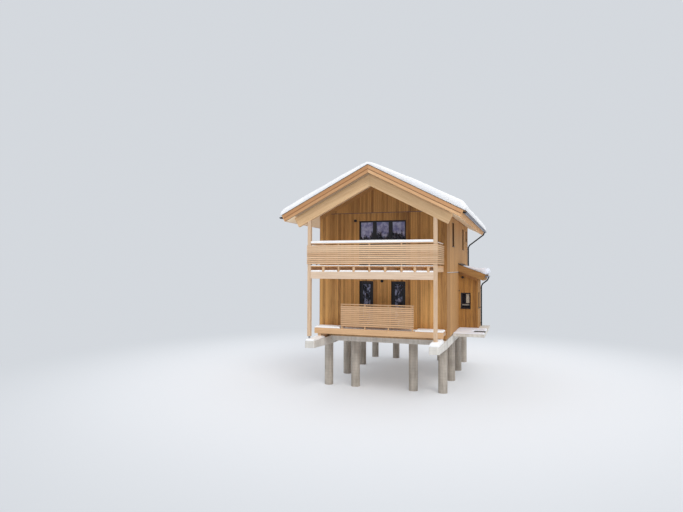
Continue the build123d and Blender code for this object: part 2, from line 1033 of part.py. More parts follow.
def balcony_beam():
    return block(-post_inner, post_inner, 0, post_size, front_beam_top - front_beam_height, front_beam_top)


def balcony_joists():
    inner = []
    for x in joist_places():
        start = stanchion_size if x in stanchion_places() else 0
        inner.append(block(x - joist_width / 2, x + joist_width / 2, start, front_y,
                           front_beam_top, deck_low))
    edge = block(post_inner, post_outer, post_size, front_y, front_beam_top, deck_low)
    return group(*inner, edge, mirrored(edge))


def balcony_deck():
    """The deck, notched round the posts and the front stanchions."""
    deck = block(-post_outer, post_outer, 0, front_y, deck_low, upper_floor_top)
    corner = block(post_inner, post_outer, 0, post_size, deck_low, upper_floor_top)
    deck -= corner
    deck -= mirrored(corner)
    for x in stanchion_places():
        deck -= block(x - stanchion_size / 2, x + stanchion_size / 2, 0, stanchion_size,
                      deck_low, upper_floor_top)
    return deck


def balcony_panel_front():
    reach = post_outer + slat_thickness
    return slat_row(-reach, reach, -slat_thickness, 0, upper_floor_top + panel_gap, balcony_slats)


def balcony_panel_right():
    return slat_row(post_outer, post_outer + slat_thickness, open_joint, front_y,
                    upper_floor_top + panel_gap, balcony_slats)


def balcony_rails():
    front = block(-post_inner, post_inner, (post_size - rail_width) / 2, (post_size + rail_width) / 2,
                  rail_low, rail_low + rail_thickness)
    for x in stanchion_places():
        front += block(x - stanchion_size / 2, x + stanchion_size / 2, 0, stanchion_size,
                       front_beam_top, rail_low)
    outer = post_outer - (post_size - rail_width) / 2
    middle = (post_size + front_y) / 2
    side = block(outer - rail_width, outer, post_size, front_y, rail_low, rail_low + rail_thickness)
    side += block(post_outer - stanchion_size, post_outer, middle - stanchion_size / 2,
                  middle + stanchion_size / 2, upper_floor_top, rail_low)
    return group(front, side, mirrored(side))


# Rainwater goods

def channel(radius, lean, y0, y1):
    """A half-round gutter about the origin, its back edge carried up to touch the leaning eave board."""
    start = 180 - lean
    sweep_angle = 180 + lean
    outer = CenterArc((0, 0), radius, start, sweep_angle)
    inner = CenterArc((0, 0), radius - gutter_wall, start, sweep_angle)
    face = make_face([outer, Line(outer @ 1, inner @ 1), inner, Line(inner @ 0, outer @ 0)])
    body = extrude(Plane((0, y0, 0), x_dir=(1, 0, 0), z_dir=(0, -1, 0)) * face, amount=y0 - y1)
    disc = make_face([outer, Line(outer @ 1, (0, 0)), Line((0, 0), outer @ 0)])
    for y in (y0, y1 - gutter_wall):
        body += extrude(Plane((0, y, 0), x_dir=(1, 0, 0), z_dir=(0, -1, 0)) * disc, amount=-gutter_wall)
    return body


def gutter_place():
    x, z = on_slope(slope_length + gutter_radius + gutter_gap, gutter_drop)
    return x, z


def annex_gutter_place():
    return annex_on_slope(annex_slope + annex_gutter_radius + gutter_gap, gutter_drop)


def gutters():
    x, z = gutter_place()
    main = Pos(x, 0, z) * channel(gutter_radius, roof_pitch, verge_start, verge_end)
    annex_gx, annex_gz = annex_gutter_place()
    annex = Pos(annex_gx, 0, annex_gz) * channel(annex_gutter_radius, annex_pitch,
                                                 annex_verge_start, annex_verge_end)
    return group(main, mirrored(main), annex)


def downpipe(start, wall_x, y, neck_drop, foot, diameter):
    """A pipe with two mitres at each bend: out of its gutter, back to the wall and down it."""
    x, z = start
    pipe_x = wall_x + pipe_wall_gap + diameter / 2
    corners = [Vector(x, y, z), Vector(x, y, z - pipe_outlet_length), Vector(pipe_x, y, z - neck_drop),
               Vector(pipe_x, y, foot)]
    points = [corners[0]]
    for before, corner, after in zip(corners, corners[1:], corners[2:]):
        points.append(corner + (before - corner).normalized() * pipe_bend_cut)
        points.append(corner + (after - corner).normalized() * pipe_bend_cut)
    points.append(corners[-1])
    ring = Plane(corners[0], z_dir=(0, 0, -1)) * Circle(diameter / 2)
    pipe = sweep(ring, path=Polyline(*points), transition=Transition.RIGHT)
    top = z - neck_drop - 2 * pipe_bend_cut
    middle = (top + foot) / 2
    for height in (top, middle, foot + 2 * pipe_bend_cut):
        pipe += block(wall_x, pipe_x, y - pipe_clip_height / 2, y + pipe_clip_height / 2,
                      height - pipe_clip_height, height)
    return pipe


def downpipes():
    x, z = gutter_place()
    y = back_y - pipe_end_inset
    right = downpipe((x, z - gutter_radius), half_width, y, pipe_neck_drop,
                     -cladding_drop - pipe_foot_height, pipe_diameter)
    annex_gx, annex_gz = annex_gutter_place()
    annex = downpipe((annex_gx, annex_gz - annex_gutter_radius), annex_x, annex_back - pipe_end_inset,
                     annex_pipe_neck_drop, -cladding_drop, annex_pipe_diameter)
    return group(right, mirrored(right), annex)


# Lamps

def round_fitting(x, wall_y, z, diameter, depth):
    """A round fitting standing out from a wall."""
    return Pos(x, wall_y - depth / 2, z) * Rot(90, 0, 0) * Cylinder(diameter / 2, depth)


def lamp(x, wall_y, z):
    return round_fitting(x, wall_y, z, lamp_diameter, lamp_depth)


def wall_lamps():
    """Lamps beside the gable window, between the terrace doors and on the annex, and a sensor there."""
    upper = lamp(front_axis - upper_lamp_offset, front_y, upper_floor_top + upper_lamp_height)
    lower = lamp(front_axis, front_y, door_opening_height)
    annex = lamp(half_width + annex_lamp_distance, annex_front, annex_lamp_height)
    sensor = round_fitting(half_width + sensor_distance, annex_front, sensor_height,
                           sensor_diameter, sensor_depth)
    return group(upper, lower, annex, sensor)


# Snow

def lying_snow(arcs, base_points, y0, y1):
    """Snow over a roof: a run of arcs over its top, closed by straight lines along the sheet."""
    top = [ThreePointArc(*[(x, y0, z) for x, z in points]) for points in arcs]
    base = Polyline(*[(x, y0, z) for x, z in base_points])
    return extrude(Face(Wire(top + list(base.edges()))), amount=y1 - y0, dir=(0, 1, 0))


def slope_snow(depth):
    """The snow of the right-hand slope, fullest at mid-slope and rounded down to the sheet at the eave."""
    apex = (0, ridge_height + snow_ridge_depth)
    crown = on_slope(snow_crown_run, -(snow_ridge_depth + depth) / 2)
    middle = on_slope(slope_length / 2, -depth)
    edge = on_slope(slope_length - snow_edge_run, -snow_edge_depth)
    brow = on_slope(slope_length - snow_brow_run, -snow_brow_depth)
    nose = on_slope(slope_length + snow_lip, -snow_edge_depth / 2)
    foot = on_slope(slope_length, 0)
    return lying_snow([(apex, crown, middle), (middle, edge, brow), (brow, nose, foot)],
                      [foot, (0, ridge_height), apex], verge_start - sheet_lap, verge_end + sheet_lap)


def roof_snow():
    right = slope_snow(snow_right_depth)
    left = slope_snow(snow_left_depth)
    for rib in standing_seams():
        right -= rib
        left -= rib
    return group(right, mirrored(left))


def annex_snow():
    """Snow on the lean-to, starting clear of the house wall and hanging over the gutter."""
    start = annex_on_slope(annex_snow_start, 0)
    rise = annex_on_slope(annex_snow_rise, -annex_snow_depth / 2)
    crown = annex_on_slope(annex_snow_crown, -annex_snow_depth)
    nose = annex_on_slope(annex_slope + annex_snow_lip, -annex_snow_depth / 2)
    foot = annex_on_slope(annex_slope, 0)
    return lying_snow([(start, rise, crown), (crown, nose, foot)], [foot, start],
                      annex_verge_start, annex_verge_end)


def snow_bank(length, depth):
    """A bank of snow the width of a rail, running along +X from the origin, its top arched over."""
    half = rail_width / 2
    sides = Polyline((0, -half, depth / 2), (0, -half, 0), (0, half, 0), (0, half, depth / 2))
    top = ThreePointArc((0, half, depth / 2), (0, 0, depth), (0, -half, depth / 2))
    return extrude(Face(Wire(list(sides.edges()) + [top])), amount=length, dir=(1, 0, 0))


def rail_snow():
    top = rail_low + rail_thickness
    front = Pos(-post_inner, post_size / 2, top) * snow_bank(2 * post_inner, rail_snow_depth)
    side_x = post_outer - (post_size - rail_width) / 2 - rail_width / 2
    side = Pos(side_x, post_size, top) * Rot(0, 0, 90) * snow_bank(front_y - post_size, rail_snow_depth)
    return group(front, side, mirrored(side))


leaf_left = at_door(door_centres[0], 1)
leaf_right = at_door(door_centres[1], -1)

nodes = {
    "piers": piers(),
    "foundation_beams": foundation_beams(),
    "foundation_cross_beams": foundation_cross_beams(),
    "annex_slab": annex_slab(),
    "foot_grate": foot_grate(),
    "ground_floor": ground_floor(),
    "upper_floor": upper_floor(),
    "front_wall_base": front_wall_base(),
    "front_wall_left": front_wall_left(),
    "front_wall_middle": front_wall_middle(),
    "front_wall_right": front_wall_right(),
    "front_wall_lintel": front_wall_lintel(),
    "gable_wall_front": gable_wall_front(),
    "left_wall": left_wall(),
    "right_wall": right_wall(),
    "back_wall": back_wall(),
    "annex_end_walls": annex_end_walls(),
    "annex_side_wall": annex_side_wall(),
    "annex_floor": annex_floor(),
    "annex_roof": annex_roof(),
    "annex_roof_boards": annex_roof_boards(),
    "annex_roof_sheet": annex_roof_sheet(),
    "flashings": flashings(),
    "roof_left": mirrored(roof_right()),
    "roof_right": roof_right(),
    "soffits": soffits(),
    "roof_sheets": roof_sheets(),
    "verge_boards": verge_boards(),
    "eave_boards": eave_boards(),
    "frieze_boards": frieze_boards(),
    "gable_rafters": gable_rafters(),
    "posts": posts(),
    "post_feet": post_feet(),
    "terrace_edge": terrace_edge(),
    "terrace_joists": terrace_joist_rows(),
    "terrace_bearers": terrace_bearers(),
    "terrace_deck": terrace_deck(),
    "terrace_panel": terrace_panel(),
    "terrace_rail": terrace_rail(),
    "balcony_beam": balcony_beam(),
    "balcony_joists": balcony_joists(),
    "balcony_deck": balcony_deck(),
    "balcony_panel_front": balcony_panel_front(),
    "balcony_panel_left": mirrored(balcony_panel_right()),
    "balcony_panel_right": balcony_panel_right(),
    "balcony_rails": balcony_rails(),
    "gutters": gutters(),
    "downpipes": downpipes(),
    "window_frames": window_frames(),
    "window_glass": window_glass(),
    "terrace_door_frames": terrace_door_frames(),
    "terrace_door_left": leaf_left(door_leaf()),
    "terrace_door_right": leaf_right(door_leaf()),
    "terrace_door_glass_left": leaf_left(leaf_glass()),
    "terrace_door_glass_right": leaf_right(leaf_glass()),
    "back_door": back_door(),
    "wall_lamps": wall_lamps(),
    "roof_snow": roof_snow(),
    "annex_snow": annex_snow(),
    "rail_snow": rail_snow(),
}

whole = Compound([solid for shape in nodes.values() for solid in shape.solids()]).bounding_box()
to_origin = Pos(-whole.center().X, -whole.center().Y, -whole.min.Z)
os.makedirs("parts", exist_ok=True)
for name, shape in nodes.items():
    export_step(to_origin * shape, f"parts/{name}.step")
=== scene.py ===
import math
import random

import bmesh
import bpy
from mathutils import Matrix, Vector, noise


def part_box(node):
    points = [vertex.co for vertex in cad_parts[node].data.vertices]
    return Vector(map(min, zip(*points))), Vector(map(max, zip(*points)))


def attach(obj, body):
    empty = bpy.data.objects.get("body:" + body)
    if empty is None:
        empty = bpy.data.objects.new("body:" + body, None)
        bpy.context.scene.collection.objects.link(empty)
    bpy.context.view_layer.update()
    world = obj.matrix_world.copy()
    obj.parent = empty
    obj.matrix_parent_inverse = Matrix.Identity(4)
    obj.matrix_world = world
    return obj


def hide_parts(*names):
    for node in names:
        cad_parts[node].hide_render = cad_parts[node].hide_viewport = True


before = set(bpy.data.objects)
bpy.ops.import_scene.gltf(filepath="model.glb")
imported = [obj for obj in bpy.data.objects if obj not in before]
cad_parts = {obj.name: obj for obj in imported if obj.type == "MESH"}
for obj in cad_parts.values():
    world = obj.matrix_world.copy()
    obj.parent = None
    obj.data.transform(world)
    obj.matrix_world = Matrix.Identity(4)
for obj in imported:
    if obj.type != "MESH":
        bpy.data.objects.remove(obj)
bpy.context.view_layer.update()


# Concrete piers, beams and landing slab.
# They were cast on the slope: the piers in round paper tubes that left rings on them, the beams and
# the slab between boards, with eased edges. Their concrete is mottled and streaked by rain.

class Field:
    """A value that varies over a surface: arithmetic on it adds Math nodes to its material."""

    def __init__(self, tree, socket):
        self.tree = tree
        self.socket = socket

    def math(self, operation, *values):
        """The operation on these values, or on the field alone where none are given."""
        sockets = dict(enumerate(values or (self,)))
        return add_node(self.tree, "ShaderNodeMath", {"operation": operation}, sockets)

    __add__ = __radd__ = lambda self, other: self.math("ADD", self, other)
    __mul__ = __rmul__ = lambda self, other: self.math("MULTIPLY", self, other)
    __sub__ = lambda self, other: self.math("SUBTRACT", self, other)
    __rsub__ = lambda self, other: self.math("SUBTRACT", other, self)
    __truediv__ = lambda self, other: self.math("DIVIDE", self, other)
    __abs__ = lambda self: self.math("ABSOLUTE")

    def most(self, other):
        return self.math("MAXIMUM", self, other)

    def smooth(self, low, high):
        """0 up to low, 1 from high on, and an even rise between them."""
        sockets = {"Value": self, "From Min": low, "From Max": high}
        return add_node(self.tree, "ShaderNodeMapRange", {"interpolation_type": "SMOOTHSTEP"}, sockets)

    def band(self, start, full, ease, end):
        """0 up to start and from end on, and 1 between full and ease."""
        return self.smooth(start, full) * (1 - self.smooth(ease, end))

    def share_of(self, pitch):
        """How far the value has come since the last whole pitch, from 0 to 1."""
        share = self / pitch
        return share - share.math("FLOOR")


def plug(tree, socket, value):
    if isinstance(value, Field):
        tree.links.new(value.socket, socket)
    else:
        socket.default_value = value


def add_node(tree, kind, settings, sockets, output=0):
    """A node whose settings are made first and whose sockets then get their values or links."""
    step = tree.nodes.new(kind)
    for key, value in settings.items():
        setattr(step, key, value)
    for key, value in sockets.items():
        plug(tree, step.inputs[key], value)
    return Field(tree, step.outputs[output])


class Finish:
    """A material in the making, with the place that its patterns read. surface closes it."""

    def __init__(self, name):
        self.material = bpy.data.materials.new(name)
        self.material.use_nodes = True
        self.tree = self.material.node_tree
        self.shader = self.tree.nodes["Principled BSDF"]
        self.place = self.node("ShaderNodeTexCoord", {}, {}, "Object")

    def node(self, kind, settings, sockets, output=0):
        return add_node(self.tree, kind, settings, sockets, output)

    def stretched(self, scale):
        """The place with its axes scaled, by one number or by three."""
        scale = scale if isinstance(scale, tuple) else (scale, scale, scale)
        return self.node("ShaderNodeMapping", {}, {"Vector": self.place, "Scale": scale})

    def grain(self, scale, detail=3.0, roughness=0.5):
        sockets = {"Vector": self.stretched(scale), "Scale": 1.0, "Detail": detail,
                   "Roughness": roughness}
        return self.node("ShaderNodeTexNoise", {}, sockets)

    def spots(self, scale, output="Distance"):
        return self.node("ShaderNodeTexVoronoi", {}, {"Vector": self.stretched(scale)}, output)

    def axes(self, vector=None):
        vector = vector or self.place
        return [self.node("ShaderNodeSeparateXYZ", {}, {0: vector}, number) for number in range(3)]

    def blend(self, first, second, amount):
        return self.node("ShaderNodeMix", {"data_type": "RGBA"}, {0: amount, 6: first, 7: second}, 2)

    def relief(self, height, distance):
        return self.node("ShaderNodeBump", {}, {"Height": height, "Distance": distance})

    def surface(self, **sockets):
        for key, value in sockets.items():
            plug(self.tree, self.shader.inputs[key.replace("_", " ")], value)
        return self.material


def tint(red, green, blue):
    """A colour as a paint chart gives it, from 0 to 255, in the linear values that a shader takes."""
    linear = [((part / 255 + 0.055) / 1.055) ** 2.4 for part in (red, green, blue)]
    return (*linear, 1.0)


def dress(material, *names):
    for name in names:
        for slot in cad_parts[name].material_slots:
            slot.material = material


def concrete(name, ring_pitch, seam_shade, dark, light):
    """Mottled grey with rain streaks, pits, and a seam at each pitch of its height."""
    mix = Finish(name)
    z = mix.axes()[2]
    clouds = mix.grain(1.3, 6.0, 0.6)
    runs = mix.grain((9.0, 9.0, 0.7), 4.0)
    sand = mix.grain(90.0, 2.0)
    pits = 1 - mix.spots(26.0).smooth(0.05, 0.16)
    seam = 1 - abs(z.share_of(ring_pitch) - 0.5).smooth(0.0, 0.09)
    tone = clouds.smooth(0.3, 0.7) * 0.55 + runs.smooth(0.35, 0.7) * 0.45
    colour = mix.blend(dark, light, tone)
    colour = mix.blend(colour, tint(128, 121, 110), pits * 0.4 + seam * seam_shade)
    height = sand * 0.3 - pits * 0.8 - seam * 0.9
    return mix.surface(Base_Color=colour, Roughness=0.86 - tone * 0.08,
                       Normal=mix.relief(height, 0.004))


def finished(name, shape, material, node=None):
    """The shape as a piece of the scene, which stands for a CAD node where one is named."""
    mesh = bpy.data.meshes.new(name)
    shape.to_mesh(mesh)
    shape.free()
    piece = bpy.data.objects.new(name, mesh)
    bpy.context.scene.collection.objects.link(piece)
    mesh.materials.append(material)
    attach(piece, "house")
    if node:
        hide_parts(node)


def ease_edges(shape, edges, offset):
    bmesh.ops.bevel(shape, geom=edges, offset=offset, offset_type="OFFSET", segments=1, profile=0.5,
                    affect="EDGES", clamp_overlap=True, material=-1)


def parts_of(shape):
    """The vertices of each part of the shape that hangs together, in the order of their first one."""
    parts = []
    reached = set()
    for first in shape.verts:
        if first in reached:
            continue
        reached.add(first)
        part = [first]
        for vertex in part:
            for edge in vertex.link_edges:
                other = edge.other_vert(vertex)
                if other not in reached:
                    reached.add(other)
                    part.append(other)
        parts.append(part)
    return parts


def tone_parts(shape, seed):
    """Gives each separate part of the shape a random tone, which its material reads."""
    layer = shape.verts.layers.float.new("board")
    dice = random.Random(seed)
    for part in parts_of(shape):
        tone = dice.random()
        for vertex in part:
            vertex[layer] = tone


def merged(node):
    """A copy of a CAD node's triangles, joined where their corners meet."""
    shape = bmesh.new()
    shape.from_mesh(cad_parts[node].data)
    bmesh.ops.remove_doubles(shape, verts=shape.verts, dist=0.00005)
    return shape


def eased(name, node, material, width, seed=1):
    """A CAD node's shape with its sharp edges taken off, as a plane or a casting board leaves them."""
    shape = merged(node)
    bmesh.ops.dissolve_limit(shape, angle_limit=math.radians(1), verts=shape.verts, edges=shape.edges)
    sharp = [edge for edge in shape.edges if edge.calc_face_angle(0.0) > math.radians(35)]
    ease_edges(shape, sharp, width)
    tone_parts(shape, seed)
    finished(name, shape, material, node)


tube_cast = concrete("tube_cast_concrete", 0.145, 0.3, tint(152, 144, 134), tint(196, 187, 176))
board_cast = concrete("board_cast_concrete", 0.205, 0.1, tint(196, 192, 185), tint(228, 225, 219))
dress(tube_cast, "piers")
eased("cast_long_beams", "foundation_beams", board_cast, 0.012)
eased("cast_cross_beams", "foundation_cross_beams", board_cast, 0.012)
eased("landing_slab", "annex_slab", board_cast, 0.01)


# Timber floors inside.
# Oiled softwood boards laid along the house, seen only through the panes and from below.
# The floor solids stay, with a wood whose boards are drawn by their joints.

def wood(name, light, dark, along, rings=0.3, knots=0.4, tones=0.0, streaky=0.34, board_width=None,
         parts=True, marks=None):
    """Planed wood with its fibres along one axis. Its tone varies by the piece's separate parts, by
    boards of one width along X, or else slowly; marks adds what only one piece has."""
    mix = Finish(name)
    axes = mix.axes()
    if board_width:
        lane = (axes[0] / board_width).math("FLOOR")
        board = mix.node("ShaderNodeTexWhiteNoise", {"noise_dimensions": "1D"}, {"W": lane}, "Value")
    elif parts:
        board = mix.node("ShaderNodeAttribute", {"attribute_name": "board"}, {}, "Fac")
    else:
        board = mix.grain(0.31, 1.0)
    shift = mix.node("ShaderNodeCombineXYZ", {}, {0: board * 31.0, 1: board * 57.0, 2: board * 83.0})
    mix.place = mix.node("ShaderNodeVectorMath", {"operation": "ADD"}, {0: mix.place, 1: shift})

    def scaled(across, lengthways):
        return tuple(lengthways if axis == along else across for axis in "XYZ")

    figure = (mix.grain(scaled(5.5, 0.42), 2.0) * 46.0).math("SINE").smooth(-0.6, 1.0)
    fibres = mix.grain(scaled(85.0, 2.6), 4.0, 0.6)
    streaks = mix.grain(scaled(17.0, 0.55), 4.0, 0.55).smooth(0.3, 0.72)
    eyes = (1 - mix.spots(scaled(6.5, 2.6)).smooth(0.04, 0.17)) * knots
    amount = figure * rings * 0.5 + streaks * streaky + (fibres - 0.5) * 0.5 + (board - 0.35) * tones
    colour = mix.blend(light, dark, amount.most(0.0))
    colour = mix.blend(colour, tuple(part * 0.35 for part in dark[:3]) + (1.0,), eyes)
    if marks:
        colour = marks(mix, colour, *axes)
    normal = mix.relief(fibres * 0.5 - figure * 0.25 - eyes * 0.3, 0.0015)
    return mix.surface(Base_Color=colour, Roughness=0.68 + fibres * 0.14, Normal=normal)


floor_wood = wood("floor_boards", tint(196, 160, 116), tint(140, 100, 62), "Y", 0.45, 0.5, tones=0.3,
                  board_width=0.14)
dress(floor_wood, "ground_floor", "upper_floor", "annex_floor")


# Walls.
# Framed walls, lined inside with pale boards. Where an opening cuts through one near its outer face,
# the boards of the reveal are drawn dark.

base_low, base_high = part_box("front_wall_base")
back_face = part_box("back_wall")[1].y
annex_end_low, annex_end_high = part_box("annex_end_walls")
annex_side_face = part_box("annex_side_wall")[1].x
reveal_depth = 0.15
reveal_fade = 0.01


def wall_lining(name):
    """Pale inside, and dark near the outer faces and in the wall between house and annex."""
    mix = Finish(name)
    x, y = mix.axes()[:2]
    grain = mix.grain((30.0, 30.0, 1.2), 4.0)
    left, right = base_low.x + reveal_depth, annex_side_face - reveal_depth
    front, back = base_low.y + reveal_depth, back_face - reveal_depth
    inner = x.band(left, left + reveal_fade, right - reveal_fade, right)
    inner = inner * y.band(front, front + reveal_fade, back - reveal_fade, back)
    off_middle = abs(x - base_high.x + reveal_depth / 2)
    inner = inner * off_middle.smooth(reveal_depth / 2, reveal_depth / 2 + reveal_fade)
    # Dark colour for the boards near the outer faces.
    outer_dark = mix.blend(tint(74, 52, 34), tint(98, 70, 46), grain)
    boards = mix.blend(tint(222, 190, 146), tint(182, 140, 94), grain)
    return mix.surface(Base_Color=mix.blend(outer_dark, boards, inner), Roughness=0.6 + grain * 0.15,
                       Normal=mix.relief(grain, 0.001))


dress(wall_lining("wall_lining"), "front_wall_base", "front_wall_left", "front_wall_middle",
      "front_wall_right", "front_wall_lintel", "gable_wall_front", "left_wall", "right_wall",
      "back_wall", "annex_end_walls", "annex_side_wall")


# Larch cladding.
# Upright sawn boards of mixed widths, nailed side by side over battens, so that each keeps its own
# tone and grain. They end at the openings, and level drip joints part them where a storey ends.

# Heights where the painted shade high in the gable starts and where it is full.
roof_shade_start = 6.4
roof_shade_full = 9.2


def painted_roof_shade(mix, colour, x, y, z):
    """Painted shade: the boards high in the gable, under the roof, are darker."""
    return mix.blend(colour, tint(84, 48, 22), z.smooth(roof_shade_start, roof_shade_full) * 0.42)


# The front boards carry painted shade high in the gable.
front_larch = wood("front_larch", tint(221, 167, 99), tint(118, 76, 36), "Z", 0.28, 0.8,
                   tones=1.15, streaky=0.2, marks=painted_roof_shade)
side_larch = wood("side_larch", tint(198, 150, 94), tint(132, 90, 48), "Z", 0.35, 0.45,
                  tones=0.7)
annex_larch = wood("annex_larch", tint(180, 130, 66), tint(116, 75, 33), "Z", 0.4, 0.6,
                   tones=0.6)
board_depth = 0.020
board_joint = 0.005
board_edge = 0.003
drip_joint = 0.012


def islands(node):
    """Lowest and highest corner of each separate solid in a CAD node, to a tenth of a millimetre."""
    shape = merged(node)
    boxes = []
    for part in parts_of(shape):
        sides = [[round(vertex.co[axis], 4) for vertex in part] for axis in range(3)]
        boxes.append((Vector([min(side) for side in sides]), Vector([max(side) for side in sides])))
    shape.free()
    return boxes


def add_board(shape, low, high, layer=None, tone=0.0):
    centre = (Vector(low) + Vector(high)) / 2
    size = Vector(high) - Vector(low)
    where = Matrix.Translation(centre) @ Matrix.Diagonal((*size, 1.0))
    made = bmesh.ops.create_cube(shape, size=1.0, matrix=where)
    if layer:
        for vertex in made["verts"]:
            vertex[layer] = tone


def cut_above(shape, point, normal):
    """Cuts away what lies on the normal's side of a plane and closes the boards' new ends."""
    parts = shape.verts[:] + shape.edges[:] + shape.faces[:]
    bmesh.ops.bisect_plane(shape, geom=parts, plane_co=point, plane_no=normal, clear_outer=True)
    rims = [edge for edge in shape.edges if edge.is_boundary]
    bmesh.ops.holes_fill(shape, edges=rims, sides=0)


def board_spans(low, high, left, right, holes):
    """The stretches of height that a board between left and right keeps beside the openings."""
    spans = [(low, high)]
    for hole_left, hole_right, hole_low, hole_high in holes:
        if hole_left >= right or hole_right <= left:
            continue
        kept = []
        for start, end in spans:
            if hole_low > start:
                kept.append((start, min(end, hole_low)))
            if hole_high < end:
                kept.append((max(start, hole_high), end))
        spans = [(start, end) for start, end in kept if end - start > drip_joint]
    return spans


gable_low, gable_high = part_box("gable_wall_front")
house_left = base_low.x
house_right = base_high.x
house_middle = (house_left + house_right) / 2
front_face = base_low.y
wall_foot = base_low.z
wall_apex = gable_high.z
roof_pitch = math.radians(27.36)
roof_tangent = math.tan(roof_pitch)
roof_cosine = math.cos(roof_pitch)
roof_sine = math.sin(roof_pitch)
wall_shoulder = wall_apex - (house_right - house_middle) * roof_tangent
frieze_gable_depth = 0.176
frieze_side_depth = 0.064
annex_frieze_depth = 0.144
annex_pitch = math.radians(21)
annex_tangent = math.tan(annex_pitch)
annex_cosine = math.cos(annex_pitch)
annex_sine = math.sin(annex_pitch)


def turned(x, y, degrees):
    return Matrix.Translation((x, y, 0.0)) @ Matrix.Rotation(math.radians(degrees), 4, "Z")


front_side = turned(0.0, front_face, 0)
back_side = turned(0.0, back_face, 180)
right_side = turned(house_right, 0.0, 90)
left_side = turned(house_left, 0.0, -90)
annex_front_side = turned(0.0, annex_end_low.y, 0)
annex_back_side = turned(0.0, annex_end_high.y, 180)
annex_right_side = turned(annex_side_face, 0.0, 90)

window_boxes = islands("window_frames")
frame_setback = 0.12
frame_thickness = 0.25


def holes_on(side, boxes):
    """Openings that lie in a wall's face, as left, right, low and high on that side."""
    back = side.inverted()
    holes = []
    for low, high in boxes:
        one, other = back @ low, back @ high
        if abs(min(one.y, other.y)) < frame_setback and abs(one.y - other.y) < frame_thickness:
            holes.append((min(one.x, other.x), max(one.x, other.x), low.z, high.z))
    return holes


drip_height = gable_low.z + 2.58
ledge_height = wall_foot + 3.07
annex_top = annex_end_high.z
annex_overlap = 0.05
annex_hole = (annex_end_low.y, annex_end_high.y, wall_foot - drip_joint, annex_top - annex_overlap)
gable_top = wall_apex - frieze_gable_depth / roof_cosine
gable_cuts = [((house_middle, 0.0, gable_top), (way * roof_sine, 0.0, roof_cosine)) for way in (1, -1)]
annex_cut = [((house_right, 0.0, annex_top - annex_frieze_depth / annex_cosine),
              (annex_sine, 0.0, annex_cosine))]
board_widths = (0.085, 0.105, 0.125, 0.145)
board_play = 0.0015
board_margin = 0.001
corner_run = 0.35
corner_tone = 0.75


def clad(name, side, left, right, high, seed, larch, boxes=window_boxes, joint=None, holes=(),
         cuts=(), dark_run=0.0):
    """Boards on one wall, drawn along X with its face at Y = 0 and put on its side, where the roof's
    planes cut them. They spare the boxes and the joint, and are dark in the runs at both ends."""
    holes = holes_on(side, boxes) + list(holes)
    if joint:
        holes.append((left, right, joint, joint + drip_joint))
    dice = random.Random(seed)
    shape = bmesh.new()
    layer = shape.verts.layers.float.new("board")
    stops = {left, right}
    for hole in holes:
        stops.update(edge for edge in hole[:2] if left < edge < right)
    stops = sorted(stops)
    for start, end in zip(stops, stops[1:]):
        widths = []
        while sum(widths) < end - start:
            widths.append(dice.choice(board_widths))
        ratio = (end - start) / sum(widths)
        edge = start
        for width in widths:
            after = edge + width * ratio
            inner = (edge + board_margin, after - board_margin)
            for bottom, top in board_spans(wall_foot, high, *inner, holes):
                tone = dice.betavariate(1.6, 2.6)
                if not left + dark_run <= edge < right - corner_run:
                    tone = max(tone, corner_tone)
                depth = board_depth + dice.uniform(-board_play, board_play)
                add_board(shape, (edge + board_joint / 2, -depth, bottom),
                          (after - board_joint / 2, 0.0, top), layer, tone)
            edge = after
    ease_edges(shape, shape.edges[:], board_edge)
    bmesh.ops.transform(shape, matrix=side, verts=shape.verts)
    for point, normal in cuts:
        cut_above(shape, point, normal)
    finished(name, shape, larch)


clad("front_cladding", front_side, house_left, house_right, wall_apex, 11, front_larch,
     window_boxes + islands("terrace_door_frames"), drip_height, cuts=gable_cuts)
clad("back_cladding", back_side, -house_right, -house_left, wall_apex, 12, front_larch,
     window_boxes + islands("back_door"), cuts=gable_cuts)
clad("right_cladding", right_side, front_face - board_depth, back_face + board_depth,
     wall_shoulder - frieze_side_depth, 13, side_larch, joint=ledge_height, holes=[annex_hole],
     dark_run=0.95)
clad("left_cladding", left_side, -back_face - board_depth, -front_face + board_depth,
     wall_shoulder - frieze_side_depth, 14, side_larch, joint=ledge_height)
clad("annex_front_cladding", annex_front_side, house_right + board_depth, annex_side_face, annex_top,
     15, annex_larch, cuts=annex_cut)
clad("annex_back_cladding", annex_back_side, -annex_side_face, -house_right - board_depth, annex_top,
     16, annex_larch, cuts=annex_cut)
clad("annex_side_cladding", annex_right_side, annex_end_low.y - board_depth,
     annex_end_high.y + board_depth,
     annex_top - (annex_side_face - house_right) * annex_tangent - frieze_side_depth, 17, annex_larch)


# Drip strips.
# Folded dark metal in the joints of the cladding, above the upper window and at the upper floor, that
# leads rain off the boards. Each is a thin strip with a lip turned down.

def coated_metal(name, colour, roughness, metallic=0.25):
    """Painted or coated sheet, a little paler where dust lies on it."""
    mix = Finish(name)
    dust = mix.grain((3.0, 3.0, 1.4), 4.0)
    peel = mix.grain(420.0, 1.0)
    paler = tuple(part * 1.9 + 0.01 for part in colour[:3]) + (1.0,)
    colour = mix.blend(colour, paler, dust.smooth(0.45, 0.8))
    return mix.surface(Base_Color=colour, Roughness=roughness + dust * 0.18, Metallic=metallic,
                       Normal=mix.relief(peel, 0.0003))


drip_metal = coated_metal("drip_metal", tint(84, 80, 92), 0.4)
drip_reach = 0.032
drip_lip = 0.016
drip_sheet = 0.002
drip_gap = 0.02
drip_half = (gable_top - drip_height) / roof_tangent - 0.05


def drip_strip(name, side, left, right, height):
    shape = bmesh.new()
    top = height + drip_sheet
    add_board(shape, (left, -drip_reach, height), (right, 0.0, top))
    add_board(shape, (left, -drip_reach - drip_sheet, height - drip_lip), (right, -drip_reach, top))
    bmesh.ops.transform(shape, matrix=side, verts=shape.verts)
    finished(name, shape, drip_metal)


